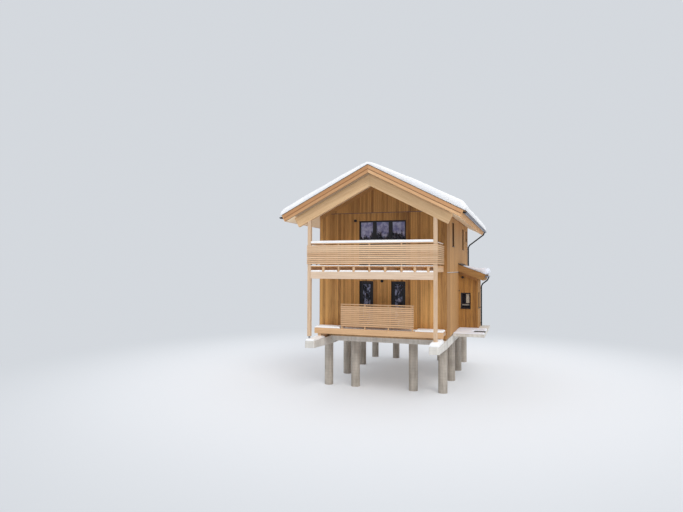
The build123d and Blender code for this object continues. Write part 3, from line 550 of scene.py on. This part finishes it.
drip_strip("gable_drip_strip", front_side, house_middle - drip_half, house_middle + drip_half,
           drip_height)
drip_strip("right_ledge_near", right_side, front_face, annex_end_low.y - drip_gap, ledge_height)
drip_strip("right_ledge_far", right_side, annex_end_high.y + drip_gap, back_face, ledge_height)
drip_strip("left_ledge", left_side, -back_face, -front_face, ledge_height)


# Windows, glazed doors and the back door.
# Aluminium frames with a fine near-black coat, set back in the wall over a folded sill, and panes of
# insulating glass with a painted reflection of a bright sky. The annex pane carries painted shade for
# the unlit room behind it, with a drape and a shelf painted on it.

frame_coat = coated_metal("frame_coat", tint(21, 23, 33), 0.42, 0.0)
upper_floor_level = gable_low.z
skyline_height = upper_floor_level + 1.55
skyline_fade = 0.12
storey_fade = 0.2
annex_pane_reach = annex_end_low.y + 0.2
annex_pane_low, annex_pane_high = [
    box for box in islands("window_glass")
    if annex_end_low.y - 0.05 < box[0].y < annex_pane_reach and box[0].x > house_right][0]


def window_pane(name):
    """Glass with a painted reflection: a bright sky over an uneven dark rim upstairs, and painted
    glints downstairs.
    """
    mix = Finish(name)
    x, y, z = mix.axes()
    waves = mix.grain((1.9, 1.9, 1.2), 5.0, 0.6)
    flecks = mix.grain((6.0, 6.0, 4.2), 6.0, 0.75)
    patches = mix.grain((13.0, 13.0, 9.0), 4.0, 0.7)
    upper = z.smooth(upper_floor_level - storey_fade, upper_floor_level + storey_fade)
    # Painted reflection: a bright sky above an uneven skyline upstairs, and glints downstairs.
    skyline = z + (waves - 0.5) * 1.9 + (flecks - 0.5) * 0.8
    sky = skyline.smooth(skyline_height - skyline_fade, skyline_height + skyline_fade) * upper
    dark = patches.smooth(0.4, 0.72) * (0.35 + upper * 0.65)
    colour = mix.blend(tint(22, 24, 34), tint(94, 92, 108), dark)
    painted_sky_reflection = mix.blend(tint(130, 132, 182), tint(194, 198, 228), flecks.smooth(0.4, 0.65))
    colour = mix.blend(colour, painted_sky_reflection, sky)
    painted_glints = flecks.smooth(0.46, 0.58) * (1 - upper) * 0.8
    colour = mix.blend(colour, tint(172, 180, 216), painted_glints)
    # Painted shade darkens the annex pane for the unlit room behind it; a drape and a shelf are
    # painted on it.
    across = (x - annex_pane_low.x) / (annex_pane_high.x - annex_pane_low.x)
    level = (z - annex_pane_low.z) / (annex_pane_high.z - annex_pane_low.z)
    in_annex = x.smooth(annex_pane_low.x - 0.02, annex_pane_low.x)
    in_annex = in_annex * (1 - y.smooth(annex_pane_reach, annex_pane_reach + 0.1))
    folds = (across * 40.0).math("SINE").smooth(-0.9, 0.7)
    drape = across.smooth(0.52, 0.56) * level.smooth(0.3, 0.34)
    shelf = level.band(0.13, 0.17, 0.22, 0.26)
    colour = mix.blend(colour, tint(26, 27, 36), in_annex)
    cloth = mix.blend(tint(118, 108, 96), tint(226, 220, 206), folds)
    colour = mix.blend(colour, cloth, in_annex * drape)
    colour = mix.blend(colour, tint(150, 148, 142), in_annex * shelf)
    return mix.surface(Base_Color=colour, Roughness=0.08, Metallic=0.0, IOR=1.45, Alpha=0.93,
                       Specular_IOR_Level=0.2)


pane_glass = window_pane("insulating_glass")
dress(frame_coat, "window_frames", "terrace_door_frames", "terrace_door_left", "terrace_door_right",
      "back_door")
dress(pane_glass, "window_glass", "terrace_door_glass_left", "terrace_door_glass_right")


# Posts, beams and the gable rafters.
# Pale glued spruce: two square posts on steel shoes carry the balcony beam and the pair of rafters
# that meet in an upright mitre under the ridge. Their edges are planed off.

post_wood = wood("post_spruce", tint(216, 188, 158), tint(184, 148, 114), "Z", knots=0.6)
cross_wood = wood("beam_spruce", tint(224, 200, 176), tint(192, 158, 128), "X", knots=0.6,
                  tones=0.15)
long_wood = wood("joist_spruce", tint(220, 184, 146), tint(182, 142, 102), "Y", tones=0.2)
roof_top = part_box("roof_right")[1].z
rafter_shade_run = 0.075


def slope_wood(name, light, dark, rings, knots, lamella, marks):
    """Wood glued in layers, with its fibres down both roof slopes. marks adds what only one piece has,
    by the distance from the ridge line and by the depth under the roof boards."""
    mix = Finish(name)
    x, y, z = mix.axes()
    off = x - house_middle
    out = abs(off)
    down = out * roof_cosine - z * roof_sine
    depth = out * roof_sine + z * roof_cosine
    side = off.math("SIGN") * 5.0
    mix.place = mix.node("ShaderNodeCombineXYZ", {}, {0: depth, 1: y + side, 2: down})
    figure = (mix.grain((6.0, 6.0, 0.4), 2.0) * 40.0).math("SINE").smooth(-0.6, 1.0)
    fibres = mix.grain((85.0, 85.0, 2.6), 4.0, 0.6)
    streaks = mix.grain((15.0, 15.0, 0.5), 4.0, 0.55).smooth(0.3, 0.72)
    eyes = (1 - mix.spots((4.4, 4.4, 2.0)).smooth(0.06, 0.17)) * knots
    seam = 1 - abs(depth.share_of(lamella) - 0.5).smooth(0.0, 0.03)
    amount = figure * rings * 0.5 + streaks * 0.36 + (fibres - 0.5) * 0.45 + seam * 0.2
    colour = mix.blend(light, dark, amount.most(0.0))
    colour = mix.blend(colour, tuple(part * 0.4 for part in dark[:3]) + (1.0,), eyes)
    colour = marks(mix, colour, off, roof_top * roof_cosine - depth)
    normal = mix.relief(fibres * 0.5 - figure * 0.25 - seam * 0.4, 0.0015)
    return mix.surface(Base_Color=colour, Roughness=0.66 + fibres * 0.14, Normal=normal)


def rafter_shade(mix, colour, off, under):
    """Painted shade: the rafters are darker close under the roof boards."""
    boards = (roof_top - wall_apex) * roof_cosine
    near = 1 - under.smooth(boards, boards + rafter_shade_run)
    return mix.blend(colour, tint(138, 96, 60), near * 0.3)


rafter_wood = slope_wood("rafter_spruce", tint(228, 194, 150), tint(196, 152, 106), 0.3, 0.75, 0.045,
                         rafter_shade)
eased("post_timbers", "posts", post_wood, 0.005, 3)
eased("balcony_beam_timber", "balcony_beam", cross_wood, 0.005, 4)
eased("balcony_joist_timbers", "balcony_joists", long_wood, 0.004, 5)
eased("rafter_timbers", "gable_rafters", rafter_wood, 0.005, 6)


def galvanised(name):
    """Zinc with flat flakes of its own greys."""
    mix = Finish(name)
    shade = mix.axes(mix.spots(60.0, "Color"))[0]
    colour = mix.blend(tint(138, 140, 142), tint(186, 188, 190), shade)
    return mix.surface(Base_Color=colour, Metallic=0.9, Roughness=0.38 + shade * 0.2)


dress(galvanised("galvanised_steel"), "post_feet")


# Roof.
# Boarded slopes between deep double verge boards and eave boards, lined below with pale panels, and
# covered with dark folded sheet that shows as a thin edge under the snow.

verge_step = 0.19
verge_joint = 0.008
verge_depth = 0.357
rafter_low, rafter_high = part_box("gable_rafters")
soffit_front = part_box("soffits")[0].y


def verge_marks(mix, colour, off, under):
    """A darker upper board, the joint below it, painted shade along the foot, and the left slope a
    little darker.
    """
    lower = under.smooth(verge_step - 0.004, verge_step + 0.004)
    colour = mix.blend(tint(200, 148, 102), colour, 0.25 + lower * 0.75)
    joint = abs(under - verge_step - verge_joint)
    colour = mix.blend(colour, tint(96, 62, 36), (1 - joint.smooth(0.006, 0.02)) * 0.8)
    # Painted shade along the boards' lower edge.
    foot = under.smooth(verge_depth - 0.024, verge_depth - 0.012)
    colour = mix.blend(colour, tint(70, 44, 26), foot * 0.85)
    left = 1 - off.smooth(-0.02, 0.02)
    return mix.blend(colour, tint(164, 112, 66), left * 0.42)


def soffit_shade(mix, colour, x, y, z):
    """Painted shade: the lining is dark between the verge and the rafters, and in a strip along its
    front edge.
    """
    reach = rafter_high.x - house_middle - 0.1
    strip = soffit_front + 0.06
    out = abs(x - house_middle)
    hidden = (1 - out.smooth(reach - 0.05, reach)) * (1 - y.smooth(rafter_low.y - 0.01, rafter_low.y))
    edge = 1 - y.smooth(strip - 0.01, strip)
    return mix.blend(colour, tint(104, 68, 40), hidden.most(edge) * 0.7)


verge_wood = slope_wood("verge_larch", tint(226, 182, 136), tint(186, 136, 90), 0.35, 0.4, 0.4,
                        verge_marks)
lining_wood = wood("soffit_spruce", tint(255, 238, 208), tint(244, 212, 170), "Y", knots=0.35,
                   parts=False, marks=soffit_shade)
eave_wood = wood("eave_larch", tint(228, 178, 124), tint(184, 128, 76), "Y", 0.35, 0.3)
# Painted shade: the frieze larch is darker than the eave larch, as the friezes lie in shade under the
# soffits.
frieze_shade_wood = wood("frieze_larch", tint(176, 130, 80), tint(128, 88, 50), "Y", 0.35, 0.3)
annex_wood = wood("annex_edge_larch", tint(170, 126, 72), tint(122, 84, 44), "X", 0.35, 0.3)
eased("verge_board_timbers", "verge_boards", verge_wood, 0.003, 7)
eased("eave_board_timbers", "eave_boards", eave_wood, 0.003, 8)
eased("annex_board_timbers", "annex_roof_boards", annex_wood, 0.003, 9)
eased("frieze_timbers", "frieze_boards", frieze_shade_wood, 0.002, 10)
dress(lining_wood, "soffits", "roof_left", "roof_right", "annex_roof")
sheet_coat = coated_metal("roof_sheet_coat", tint(74, 64, 58), 0.5)
dress(sheet_coat, "roof_sheets", "annex_roof_sheet", "flashings")
apron_run = 0.2
apron_rise = 0.045
apron_side = 0.006


def wall_apron(name):
    """A folded sheet from the wall over the annex roof's upper end, under the snow's thin start."""
    shape = bmesh.new()
    low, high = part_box("annex_roof_sheet")
    add_board(shape, (0.0, low.y - apron_side, 0.0), (apron_run, high.y + apron_side, apron_rise))
    ease_edges(shape, shape.edges[:], 0.006)
    lean = Matrix.Translation((house_right, 0.0, high.z)) @ Matrix.Rotation(annex_pitch, 4, "Y")
    bmesh.ops.transform(shape, matrix=lean, verts=shape.verts)
    finished(name, shape, sheet_coat)


wall_apron("annex_wall_apron")


# Gutters and pipes.
# Half-round gutters of coated sheet hang in flat hooks at the eaves, and round pipes lead their water
# down the walls. The troughs mirror the light around them; their closed ends are dark, and painted
# shade darkens a line along each rim and each foot.

shortest_trough = 1.0
gutter_low, gutter_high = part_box("gutters")
lowest_trough = min([box for box in islands("gutters") if box[1].y - box[0].y > shortest_trough],
                    key=lambda box: box[1].z)
trough_rims = (gutter_high.z, lowest_trough[1].z)
trough_deep = lowest_trough[1].z - lowest_trough[0].z


def trough_metal(name):
    """Bright sheet that is dark at its front end, with painted shade in a line along its rim and along
    its foot.
    """
    mix = Finish(name)
    y, z = mix.axes()[1:]
    dust = mix.grain((3.0, 0.8, 3.0), 4.0)
    lit = (y - gutter_low.y).smooth(0.004, 0.012)
    # Painted shade: a dark line under each rim and along each foot.
    for rim in trough_rims:
        foot = rim - trough_deep
        lit = lit - z.band(rim - 0.022, rim - 0.012, rim + 0.01, rim + 0.02) * 0.8
        lit = lit - z.band(foot - 0.02, foot - 0.01, foot + 0.012, foot + 0.03) * 0.8
    lit = lit.most(0.0)
    shade = mix.blend(tint(120, 122, 136), tint(150, 152, 168), dust)
    colour = mix.blend(tint(30, 31, 36), shade, lit)
    return mix.surface(Base_Color=colour, Roughness=0.3 + dust * 0.15, Metallic=0.55)


trough_coat = trough_metal("trough_coat")
pipe_coat = coated_metal("pipe_coat", tint(12, 13, 17), 0.75, 0.0)
dress(trough_coat, "gutters")
dress(pipe_coat, "downpipes")

hook_width = 0.025
hook_sheet = 0.004
hook_pitch = 0.8
hook_inset = 0.15
hook_gap = 0.0005


def gutter_hooks(name, low, high):
    """Flat hooks bent round a half-round gutter, each spun as half a ring from one small section."""
    shape = bmesh.new()
    axis = Vector(((low.x + high.x) / 2, 0.0, high.z))
    radius = (high.x - low.x) / 2 + hook_gap
    run = high.y - low.y - 2 * hook_inset
    count = max(2, round(run / hook_pitch) + 1)
    step = run / (count - 1)
    for number in range(count):
        start = low.y + hook_inset + number * step - hook_width / 2
        edge = axis.x + radius
        corners = [(edge, start, axis.z), (edge + hook_sheet, start, axis.z),
                   (edge + hook_sheet, start + hook_width, axis.z), (edge, start + hook_width, axis.z)]
        section = shape.faces.new([shape.verts.new(corner) for corner in corners])
        ring = [section] + section.edges[:] + section.verts[:]
        bmesh.ops.spin(shape, geom=ring, cent=axis, axis=(0.0, 1.0, 0.0), angle=math.pi, steps=10)
    bmesh.ops.recalc_face_normals(shape, faces=shape.faces)
    finished(name, shape, pipe_coat)


for number, (low, high) in enumerate(islands("gutters")):
    if high.y - low.y > shortest_trough:
        gutter_hooks("gutter_hooks_%d" % number, low, high)


# Terrace and balcony boards, rails and slats.
# Planed larch, screwed down with open joints: boards under foot, and slats one above the other in
# front of the posts and of spruce stanchions. Painted shade darkens the slats' edges and the
# stanchions behind them.

deck_wood = wood("deck_larch", tint(214, 164, 112), tint(156, 106, 62), "X", 0.45, 0.5, tones=0.4)
edge_wood = wood("edge_larch", tint(220, 180, 138), tint(184, 142, 100), "X")
deck_joint = 0.006
slat_pitch = 0.0885
slat_height = 0.076


def rail_wood(name, panel):
    """Rails and their stanchions, with painted shade behind a panel."""
    foot, head = (corner.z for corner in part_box(panel))

    # Painted shade on the rails and stanchions behind the panel's slats.
    def painted_panel_shade(mix, colour, x, y, z):
        return mix.blend(colour, tint(96, 62, 38), z.band(foot - 0.01, foot, head - 0.01, head) * 0.6)

    return wood(name, tint(212, 174, 134), tint(172, 130, 90), "X", tones=0.2, marks=painted_panel_shade)


def painted_slat_shadows(node, shade):
    """Painted shade: dark lines along the upper and lower edge of each slat in a panel."""
    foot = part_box(node)[0].z

    def edges(mix, colour, x, y, z):
        row = (z - foot).share_of(slat_pitch) * slat_pitch
        face = row.band(0.003, 0.007, slat_height - 0.007, slat_height - 0.003)
        return mix.blend(colour, shade, (1 - face) * 0.65)

    return edges


terrace_rail_wood = rail_wood("terrace_rail_spruce", "terrace_panel")
balcony_rail_wood = rail_wood("balcony_rail_spruce", "balcony_panel_front")
slat_wood = wood("slat_larch", tint(232, 199, 164), tint(194, 152, 113), "X", knots=0.5,
                 tones=0.6, marks=painted_slat_shadows("balcony_panel_front", tint(92, 58, 34)))
side_slat_wood = wood("side_slat_larch", tint(216, 178, 136), tint(172, 132, 92), "Y", tones=0.5,
                      marks=painted_slat_shadows("balcony_panel_left", tint(80, 50, 28)))
terrace_slat_wood = wood("terrace_slat_larch", tint(218, 179, 140), tint(177, 135, 95), "X", knots=0.5,
                         tones=0.6, marks=painted_slat_shadows("terrace_panel", tint(92, 58, 34)))


def deck_boards(name, node, rows, gaps):
    """Boards across the deck, in rows from its front edge, each as its two ends and its stretches."""
    low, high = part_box(node)
    shape = bmesh.new()
    for start, end, ends in rows:
        stops = [low.x + ends] + [edge for gap in gaps(start) for edge in gap] + [high.x - ends]
        for left, right in zip(stops[::2], stops[1::2]):
            add_board(shape, (left, start + deck_joint / 2, low.z),
                      (right, end - deck_joint / 2, high.z))
    ease_edges(shape, shape.edges[:], 0.003)
    tone_parts(shape, 21)
    finished(name, shape, deck_wood, node)


def even_rows(start, end, count):
    step = (end - start) / count
    return [(start + number * step, start + (number + 1) * step, 0.0) for number in range(count)]


post_low, post_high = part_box("posts")
balcony_low, balcony_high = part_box("balcony_deck")
deck_low, deck_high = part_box("terrace_deck")
post_width = post_high.y - post_low.y
post_clear = 0.001
stanchion_size = 0.06
edge_joist_reach = 0.2
terrace_rows = 7
balcony_rows = 13
joists = sorted((low.x, high.x) for low, high in islands("balcony_joists"))
joists = [(left, right) for left, right in joists
          if balcony_low.x + edge_joist_reach < left and right < balcony_high.x - edge_joist_reach]
stanchion_joists = joists[1:6:2]


def stanchion_gaps(start):
    """Where the boards at the balcony's front edge stop beside its stanchions."""
    if start > balcony_low.y + stanchion_size - 0.01:
        return []
    half = stanchion_size / 2 + post_clear
    middles = [sum(joist) / 2 for joist in stanchion_joists]
    return [(middle - half, middle + half) for middle in middles]


deck_boards("terrace_boards", "terrace_deck", even_rows(deck_low.y, deck_high.y, terrace_rows),
            lambda start: [])
post_gap = post_width + post_clear
front_rows = [(balcony_low.y, balcony_low.y + stanchion_size, post_gap),
              (balcony_low.y + stanchion_size, balcony_low.y + post_width, post_gap)]
back_rows = even_rows(balcony_low.y + post_width, balcony_high.y, balcony_rows)
deck_boards("balcony_boards", "balcony_deck", front_rows + back_rows, stanchion_gaps)
eased("terrace_edge_board", "terrace_edge", edge_wood, 0.004, 11)
eased("terrace_joist_timbers", "terrace_joists", cross_wood, 0.003, 12)
eased("terrace_bearer_timbers", "terrace_bearers", long_wood, 0.004, 13)
eased("terrace_rail_timbers", "terrace_rail", terrace_rail_wood, 0.004, 14)
eased("balcony_rail_timbers", "balcony_rails", balcony_rail_wood, 0.004, 15)
eased("terrace_slats", "terrace_panel", terrace_slat_wood, 0.003, 16)
eased("balcony_front_slats", "balcony_panel_front", slat_wood, 0.003, 17)
eased("balcony_left_slats", "balcony_panel_left", side_slat_wood, 0.003, 18)
eased("balcony_right_slats", "balcony_panel_right", side_slat_wood, 0.003, 19)


# Wall lamps and the foot grate.
# Small round fittings on the walls, and an open steel grate let into the landing. Both are coated
# near black.

black_coat = coated_metal("lamp_coat", tint(26, 26, 30), 0.42)
dress(black_coat, "wall_lamps", "foot_grate")


# Snow on the roof.
# Fresh snow, whose top is rounded at its edges and a little uneven. It thickens down both slopes,
# more on the right one, and ends over the gutters in a blunt brow.

def snow_finish(name, shaded, lit):
    mix = Finish(name)
    drifts = mix.grain(1.6, 4.0)
    grains = mix.grain(55.0, 3.0)
    colour = mix.blend(shaded, lit, drifts.smooth(0.3, 0.7))
    normal = mix.relief(drifts * 3.0 + grains * 0.5, 0.008)
    return mix.surface(Base_Color=colour, Roughness=0.62, Normal=normal)


snow_white = snow_finish("fresh_snow", tint(246, 247, 250), tint(253, 253, 253))
# A bluer copy of the snow: painted shade for the annex and the landing, which lie in the house's
# shadow.
painted_shade_snow = snow_finish("shaded_snow", tint(231, 235, 248), tint(241, 244, 252))


def rounded(gap, reach):
    """Height of a rounded shoulder, from 0 at the edge to 1 where the gap is as wide as its reach."""
    inside = min(max(gap / reach, 0.0), 1.0)
    return math.sqrt(1 - (1 - inside) ** 2)


def unevenness(x, y, seed):
    broad = noise.noise(Vector((x * 0.9, y * 0.9, seed)))
    return 1.0 + broad * 0.1 + noise.noise(Vector((x * 4, y * 4, seed))) * 0.025


def snow_cover(name, cells, place, node=None, snow=snow_white):
    """Snow between its underside and its top. place gives a point of either for u and v up to 1."""
    shape = bmesh.new()
    bmesh.ops.create_grid(shape, x_segments=cells[0], y_segments=cells[1], size=1.0)
    raised = bmesh.ops.extrude_face_region(shape, geom=shape.faces[:])
    tops = {part for part in raised["geom"] if isinstance(part, bmesh.types.BMVert)}
    for vertex in shape.verts:
        u = (1 + math.sin(vertex.co.x * math.pi / 2)) / 2
        v = (1 + math.sin(vertex.co.y * math.pi / 2)) / 2
        vertex.co = place(u, v, vertex in tops)
    bmesh.ops.recalc_face_normals(shape, faces=shape.faces)
    for face in shape.faces:
        face.smooth = True
    finished(name, shape, snow, node)


slope_low, slope_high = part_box("roof_snow")
sheet_apex = slope_high.z - 0.135
eave_out = slope_high.x - house_middle - 0.02
ridge_depth = 0.12
left_depth = 0.195
right_depth = 0.30
verge_shoulder = 0.07
verge_lip = 0.012
verge_hang = 0.022
brow_run = 0.36
brow_share = 0.16
ridge_dip = 0.045
ridge_width = 0.14
lean_run = 0.6


def slope_depth(share, full):
    """Thickness of the snow at a share of the way down the slope, fullest before the eave."""
    return ridge_depth + (full - ridge_depth) * math.sin(min(share * 1.15, 1.0) * math.pi / 2)


def roof_snow_place(u, v, top):
    """Down each slope from the ridge, and over the gutter in a blunt brow."""
    side = 2 * u - 1
    run = eave_out / roof_cosine - brow_run
    full = right_depth if side > 0 else left_depth
    y = slope_low.y - verge_lip + v * (slope_high.y - slope_low.y + 2 * verge_lip)
    gap = min(y - slope_low.y, slope_high.y - y)
    swell = (0.82 + 0.18 * rounded(gap + verge_lip, verge_shoulder)) * unevenness(side * 4.6, y, 1.0)
    if not top:
        along, thick = abs(side) * (run + brow_run), -verge_hang if gap < 0 else 0.0
    elif abs(side) < 1 - brow_share:
        share = abs(side) / (1 - brow_share)
        along, thick = share * run, slope_depth(share, full) * swell
    else:
        turn = (abs(side) - 1 + brow_share) / brow_share * math.pi / 2
        along, thick = run + brow_run * math.sin(turn), full * swell * math.cos(turn)
    out = along * roof_cosine
    dip = ridge_dip * math.exp(-(out / ridge_width) ** 2) if top else 0.0
    lean = roof_sine * thick * min(out / lean_run, 1.0)
    x = house_middle + math.copysign(out + lean, side)
    return (x, y, sheet_apex - along * roof_sine + thick / roof_cosine - lean * roof_tangent - dip)


snow_cover("roof_snow_bed", (110, 70), roof_snow_place, "roof_snow")


# Snow on the annex.
# It is drawn in a bluer copy of the snow, painted shade for the house's shadow. It starts thin past
# the apron at the wall and is fullest at the eave, where it bends over the gutter in a round nose.

annex_snow_low, annex_snow_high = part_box("annex_snow")
annex_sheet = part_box("annex_roof_sheet")[1]
annex_snow_ends = 0.13
annex_start = annex_snow_low.x + annex_snow_ends
annex_reach = (annex_sheet.x - annex_start - annex_snow_ends) / annex_cosine
annex_least = 0.03
annex_full = 0.31
annex_side_gap = 0.004
annex_shoulder = 0.12
nose_start = 0.72
nose_turn = math.radians(150)
nose_drop = 0.035
nose_share = 0.95


def annex_snow_place(u, v, top):
    """Down the slope up to the share where the nose starts, and then round the nose."""
    run = annex_snow_high.y - annex_snow_low.y - 2 * annex_side_gap
    y = annex_snow_low.y + annex_side_gap + v * run
    gap = min(y - annex_snow_low.y, annex_snow_high.y - y)
    swell = (0.8 + 0.2 * rounded(gap, annex_shoulder)) * unevenness(u, y, 2.0)
    if not top:
        along, thick = u * annex_reach, 0.0
    elif u < nose_start:
        share = u / nose_start
        along = share * annex_reach
        thick = (annex_least + (annex_full - annex_least) * share ** 1.5) * swell
    else:
        turn = (u - nose_start) / (1 - nose_start) * nose_turn
        half = annex_full * swell / 2
        along = annex_reach + (half + nose_drop) * nose_share * math.sin(turn)
        thick = half - nose_drop + (half + nose_drop) * math.cos(turn)
    x = annex_start + along * annex_cosine + thick * annex_sine
    base = annex_sheet.z - (annex_start - house_right) * annex_tangent
    return (x, y, base - along * annex_sine + thick * annex_cosine)


snow_cover("annex_snow_bed", (44, 34), annex_snow_place, "annex_snow", painted_shade_snow)


# Snow on the balcony.
# A bank on each upper rail, the left and the front one deep, and what blew in on the beam between
# the joists and along the deck's front edge.

def snow_bed(name, low, high, level, depth, cells, seed, node=None, shoulder=0.05, bulge=0.0,
             snow=snow_white):
    """A bed of snow on a level rectangle, rounded off at its four sides."""
    def place(u, v, top):
        x = low[0] + u * (high[0] - low[0])
        y = low[1] + v * (high[1] - low[1])
        if not top:
            return (x, y, level)
        gaps = (x - low[0], high[0] - x, y - low[1], high[1] - y)
        near = min(rounded(gap, shoulder) for gap in gaps)
        lift = depth * (0.25 + 0.75 * near) * unevenness(x, y, seed)
        return (x + (2 * u - 1) * bulge, y + (2 * v - 1) * bulge, level + lift)

    snow_cover(name, cells, place, node, snow)


bank_low, bank_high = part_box("rail_snow")
bank_depth = bank_high.z - bank_low.z
bank_width = 0.12
bank_bulge = 0.006
right_bank_depth = 0.03
beam_snow_depth = 0.07
edge_snow_depth = 0.034
edge_sink = 0.03
inner_left = post_low.x + post_width
inner_right = post_high.x - post_width
snow_bed("rail_snow_front", (inner_left, bank_low.y), (inner_right, bank_low.y + bank_width),
         bank_low.z, bank_depth + 0.022, (120, 8), 3.0, "rail_snow", shoulder=0.06, bulge=bank_bulge)
for name, edge, deep in (("left", bank_low.x, bank_depth),
                         ("right", bank_high.x - bank_width, right_bank_depth)):
    snow_bed("rail_snow_" + name, (edge, post_high.y), (edge + bank_width, bank_high.y), bank_low.z,
             deep, (8, 50), 4.0, shoulder=0.06, bulge=bank_bulge)

beam_low, beam_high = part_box("balcony_beam")
joist_gap = 0.002
stops = [beam_low.x] + [edge for joist in joists for edge in joist] + [beam_high.x]
for number, (left, right) in enumerate(zip(stops[::2], stops[1::2])):
    snow_bed("beam_snow_%d" % number, (left + joist_gap, beam_low.y), (right - joist_gap, beam_high.y),
             beam_high.z, beam_snow_depth, (14, 8), 5.0 + number, shoulder=0.04)
snow_bed("balcony_edge_snow", (inner_left, balcony_low.y - 0.02), (inner_right, balcony_low.y + 0.16),
         balcony_high.z - edge_sink, edge_snow_depth, (120, 10), 11.0)


# Snow on the terrace, the beams' ends, the landing and the ledges.
# Deep where the terrace is open and thin behind its rail, in rounded caps on the two outer beams,
# round the grate on the landing, and in a thin line on the drip strips of the side walls.

rail_low, rail_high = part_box("terrace_rail")
rail_clear = 0.05
rail_strip_depth = 0.03
deck_inset = 0.02
open_lip = 0.045
open_depth = 0.085
wall_clear = 0.35
for name, left, right, start, deep in (
        ("left", deck_low.x + deck_inset, rail_low.x - rail_clear, -open_lip, open_depth),
        ("middle", rail_low.x, rail_high.x, rail_clear, rail_strip_depth),
        ("right", rail_high.x + rail_clear, deck_high.x - deck_inset, -open_lip, open_depth)):
    snow_bed("terrace_snow_" + name, (left, deck_low.y + start), (right, deck_high.y - wall_clear),
             deck_high.z, deep, (60, 22), 12.0, shoulder=0.09)

beam_inset = 0.02
long_beams = sorted(islands("foundation_beams"), key=lambda box: box[0].x)
for name, (low, high), deep in (("left", long_beams[0], 0.10), ("right", long_beams[-1], 0.19)):
    snow_bed("beam_end_snow_" + name, (low.x + beam_inset, low.y + beam_inset),
             (high.x - beam_inset, deck_low.y + 0.25), high.z, deep, (18, 44), 15.0, shoulder=0.12)

slab_low, slab_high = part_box("annex_slab")
grate_low, grate_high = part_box("foot_grate")
slab_inset = 0.03
grate_gap = 0.05
left = slab_low.x + slab_inset
right = slab_high.x - slab_inset
front = grate_low.y - grate_gap
back = grate_high.y + grate_gap
# The landing snow uses the bluer copy, painted shade.
for name, low, high, deep, cells, seed in (
        ("front", (left, slab_low.y + slab_inset), (right, front), 0.06, (30, 14), 17.0),
        ("back", (left, back), (right, annex_end_low.y - slab_inset), 0.07, (30, 24), 18.0),
        ("side", (left, front), (grate_low.x - grate_gap, back), 0.06, (20, 16), 19.0)):
    snow_bed("landing_snow_" + name, low, high, slab_high.z, deep, cells, seed, shoulder=0.12,
             snow=painted_shade_snow)

ledge_width = drip_reach - 0.002
for name, left, right, back in (
        ("right", house_right, house_right + ledge_width, annex_end_low.y - 0.3),
        ("left", house_left - ledge_width, house_left, back_face - 0.05)):
    snow_bed("ledge_snow_" + name, (left, front_face + 0.05), (right, back),
             ledge_height + drip_sheet, 0.018, (4, 90), 20.0, shoulder=0.015)


# Stage.
# A plain pale floor that fades into a pale backdrop, a sky that is brightest overhead and a soft sun
# from the front right.

def in_view(tree):
    """1 for the rays that show the surroundings straight on, in metal and through glass."""
    straight, metal, through = (add_node(tree, "ShaderNodeLightPath", {}, {}, "Is %s Ray" % kind)
                                for kind in ("Camera", "Glossy", "Transmission"))
    return straight.most(metal).most(through)


floor = bpy.data.meshes.new("floor")
shape = bmesh.new()
bmesh.ops.create_grid(shape, x_segments=1, y_segments=1, size=90.0)
shape.to_mesh(floor)
shape.free()
floor_piece = bpy.data.objects.new("floor", floor)
bpy.context.scene.collection.objects.link(floor_piece)
pale = Finish("pale_floor")
floor.materials.append(pale.surface(Base_Color=tint(243, 244, 247), Roughness=0.95))
distance = pale.node("ShaderNodeVectorMath", {"operation": "LENGTH"}, {0: pale.place}, "Value")
backdrop = (0.66, 0.69, 0.73, 1.0)
glow = pale.node("ShaderNodeEmission", {}, {"Color": backdrop})
share = (0.3 + distance.smooth(8.0, 24.0) * 0.7) * in_view(pale.tree)
lit = Field(pale.tree, pale.shader.outputs[0])
plug(pale.tree, pale.tree.nodes["Material Output"].inputs["Surface"],
     pale.node("ShaderNodeMixShader", {}, {0: share, 1: lit, 2: glow}))

world = bpy.data.worlds.new("even_sky")
bpy.context.scene.world = world
world.use_nodes = True
sky = world.node_tree
towards = add_node(sky, "ShaderNodeTexCoord", {}, {}, "Generated")
height = add_node(sky, "ShaderNodeSeparateXYZ", {}, {0: towards}, 2)
lit = add_node(sky, "ShaderNodeBackground", {}, {
    "Color": (0.93, 0.96, 1.0, 1.0), "Strength": height.smooth(-0.05, 0.75) * 0.62 + 0.42})
blank = add_node(sky, "ShaderNodeBackground", {}, {"Color": backdrop})
plug(sky, sky.nodes["World Output"].inputs["Surface"],
     add_node(sky, "ShaderNodeMixShader", {}, {0: in_view(sky), 1: lit, 2: blank}))

sun = bpy.data.lights.new("soft_sun", "SUN")
sun.energy = 1.1
sun.angle = math.radians(30)
sun.color = (1.0, 0.97, 0.92)
sun_object = bpy.data.objects.new("soft_sun", sun)
sun_object.rotation_euler = (math.radians(48), 0.0, math.radians(38))
bpy.context.scene.collection.objects.link(sun_object)

bpy.context.scene.view_settings.view_transform = "Standard"


# Camera.
# It stands in front of the right corner, a little above the terrace, and looks slightly up.

lens = bpy.data.cameras.new("photo_camera")
lens.sensor_width = 36.0
lens.lens = 28.129
camera = bpy.data.objects.new("photo_camera", lens)
bpy.context.scene.collection.objects.link(camera)
eye = Vector((house_middle + 6.531, post_low.y - 23.096, deck_high.z + 2.852))
turn = Matrix.Rotation(math.radians(18.816), 4, "Z")
turn = turn @ Matrix.Rotation(math.radians(90 + 1.345), 4, "X")
turn = turn @ Matrix.Rotation(math.radians(0.241), 4, "Z")
camera.matrix_world = Matrix.Translation(eye) @ turn
bpy.context.scene.camera = camera
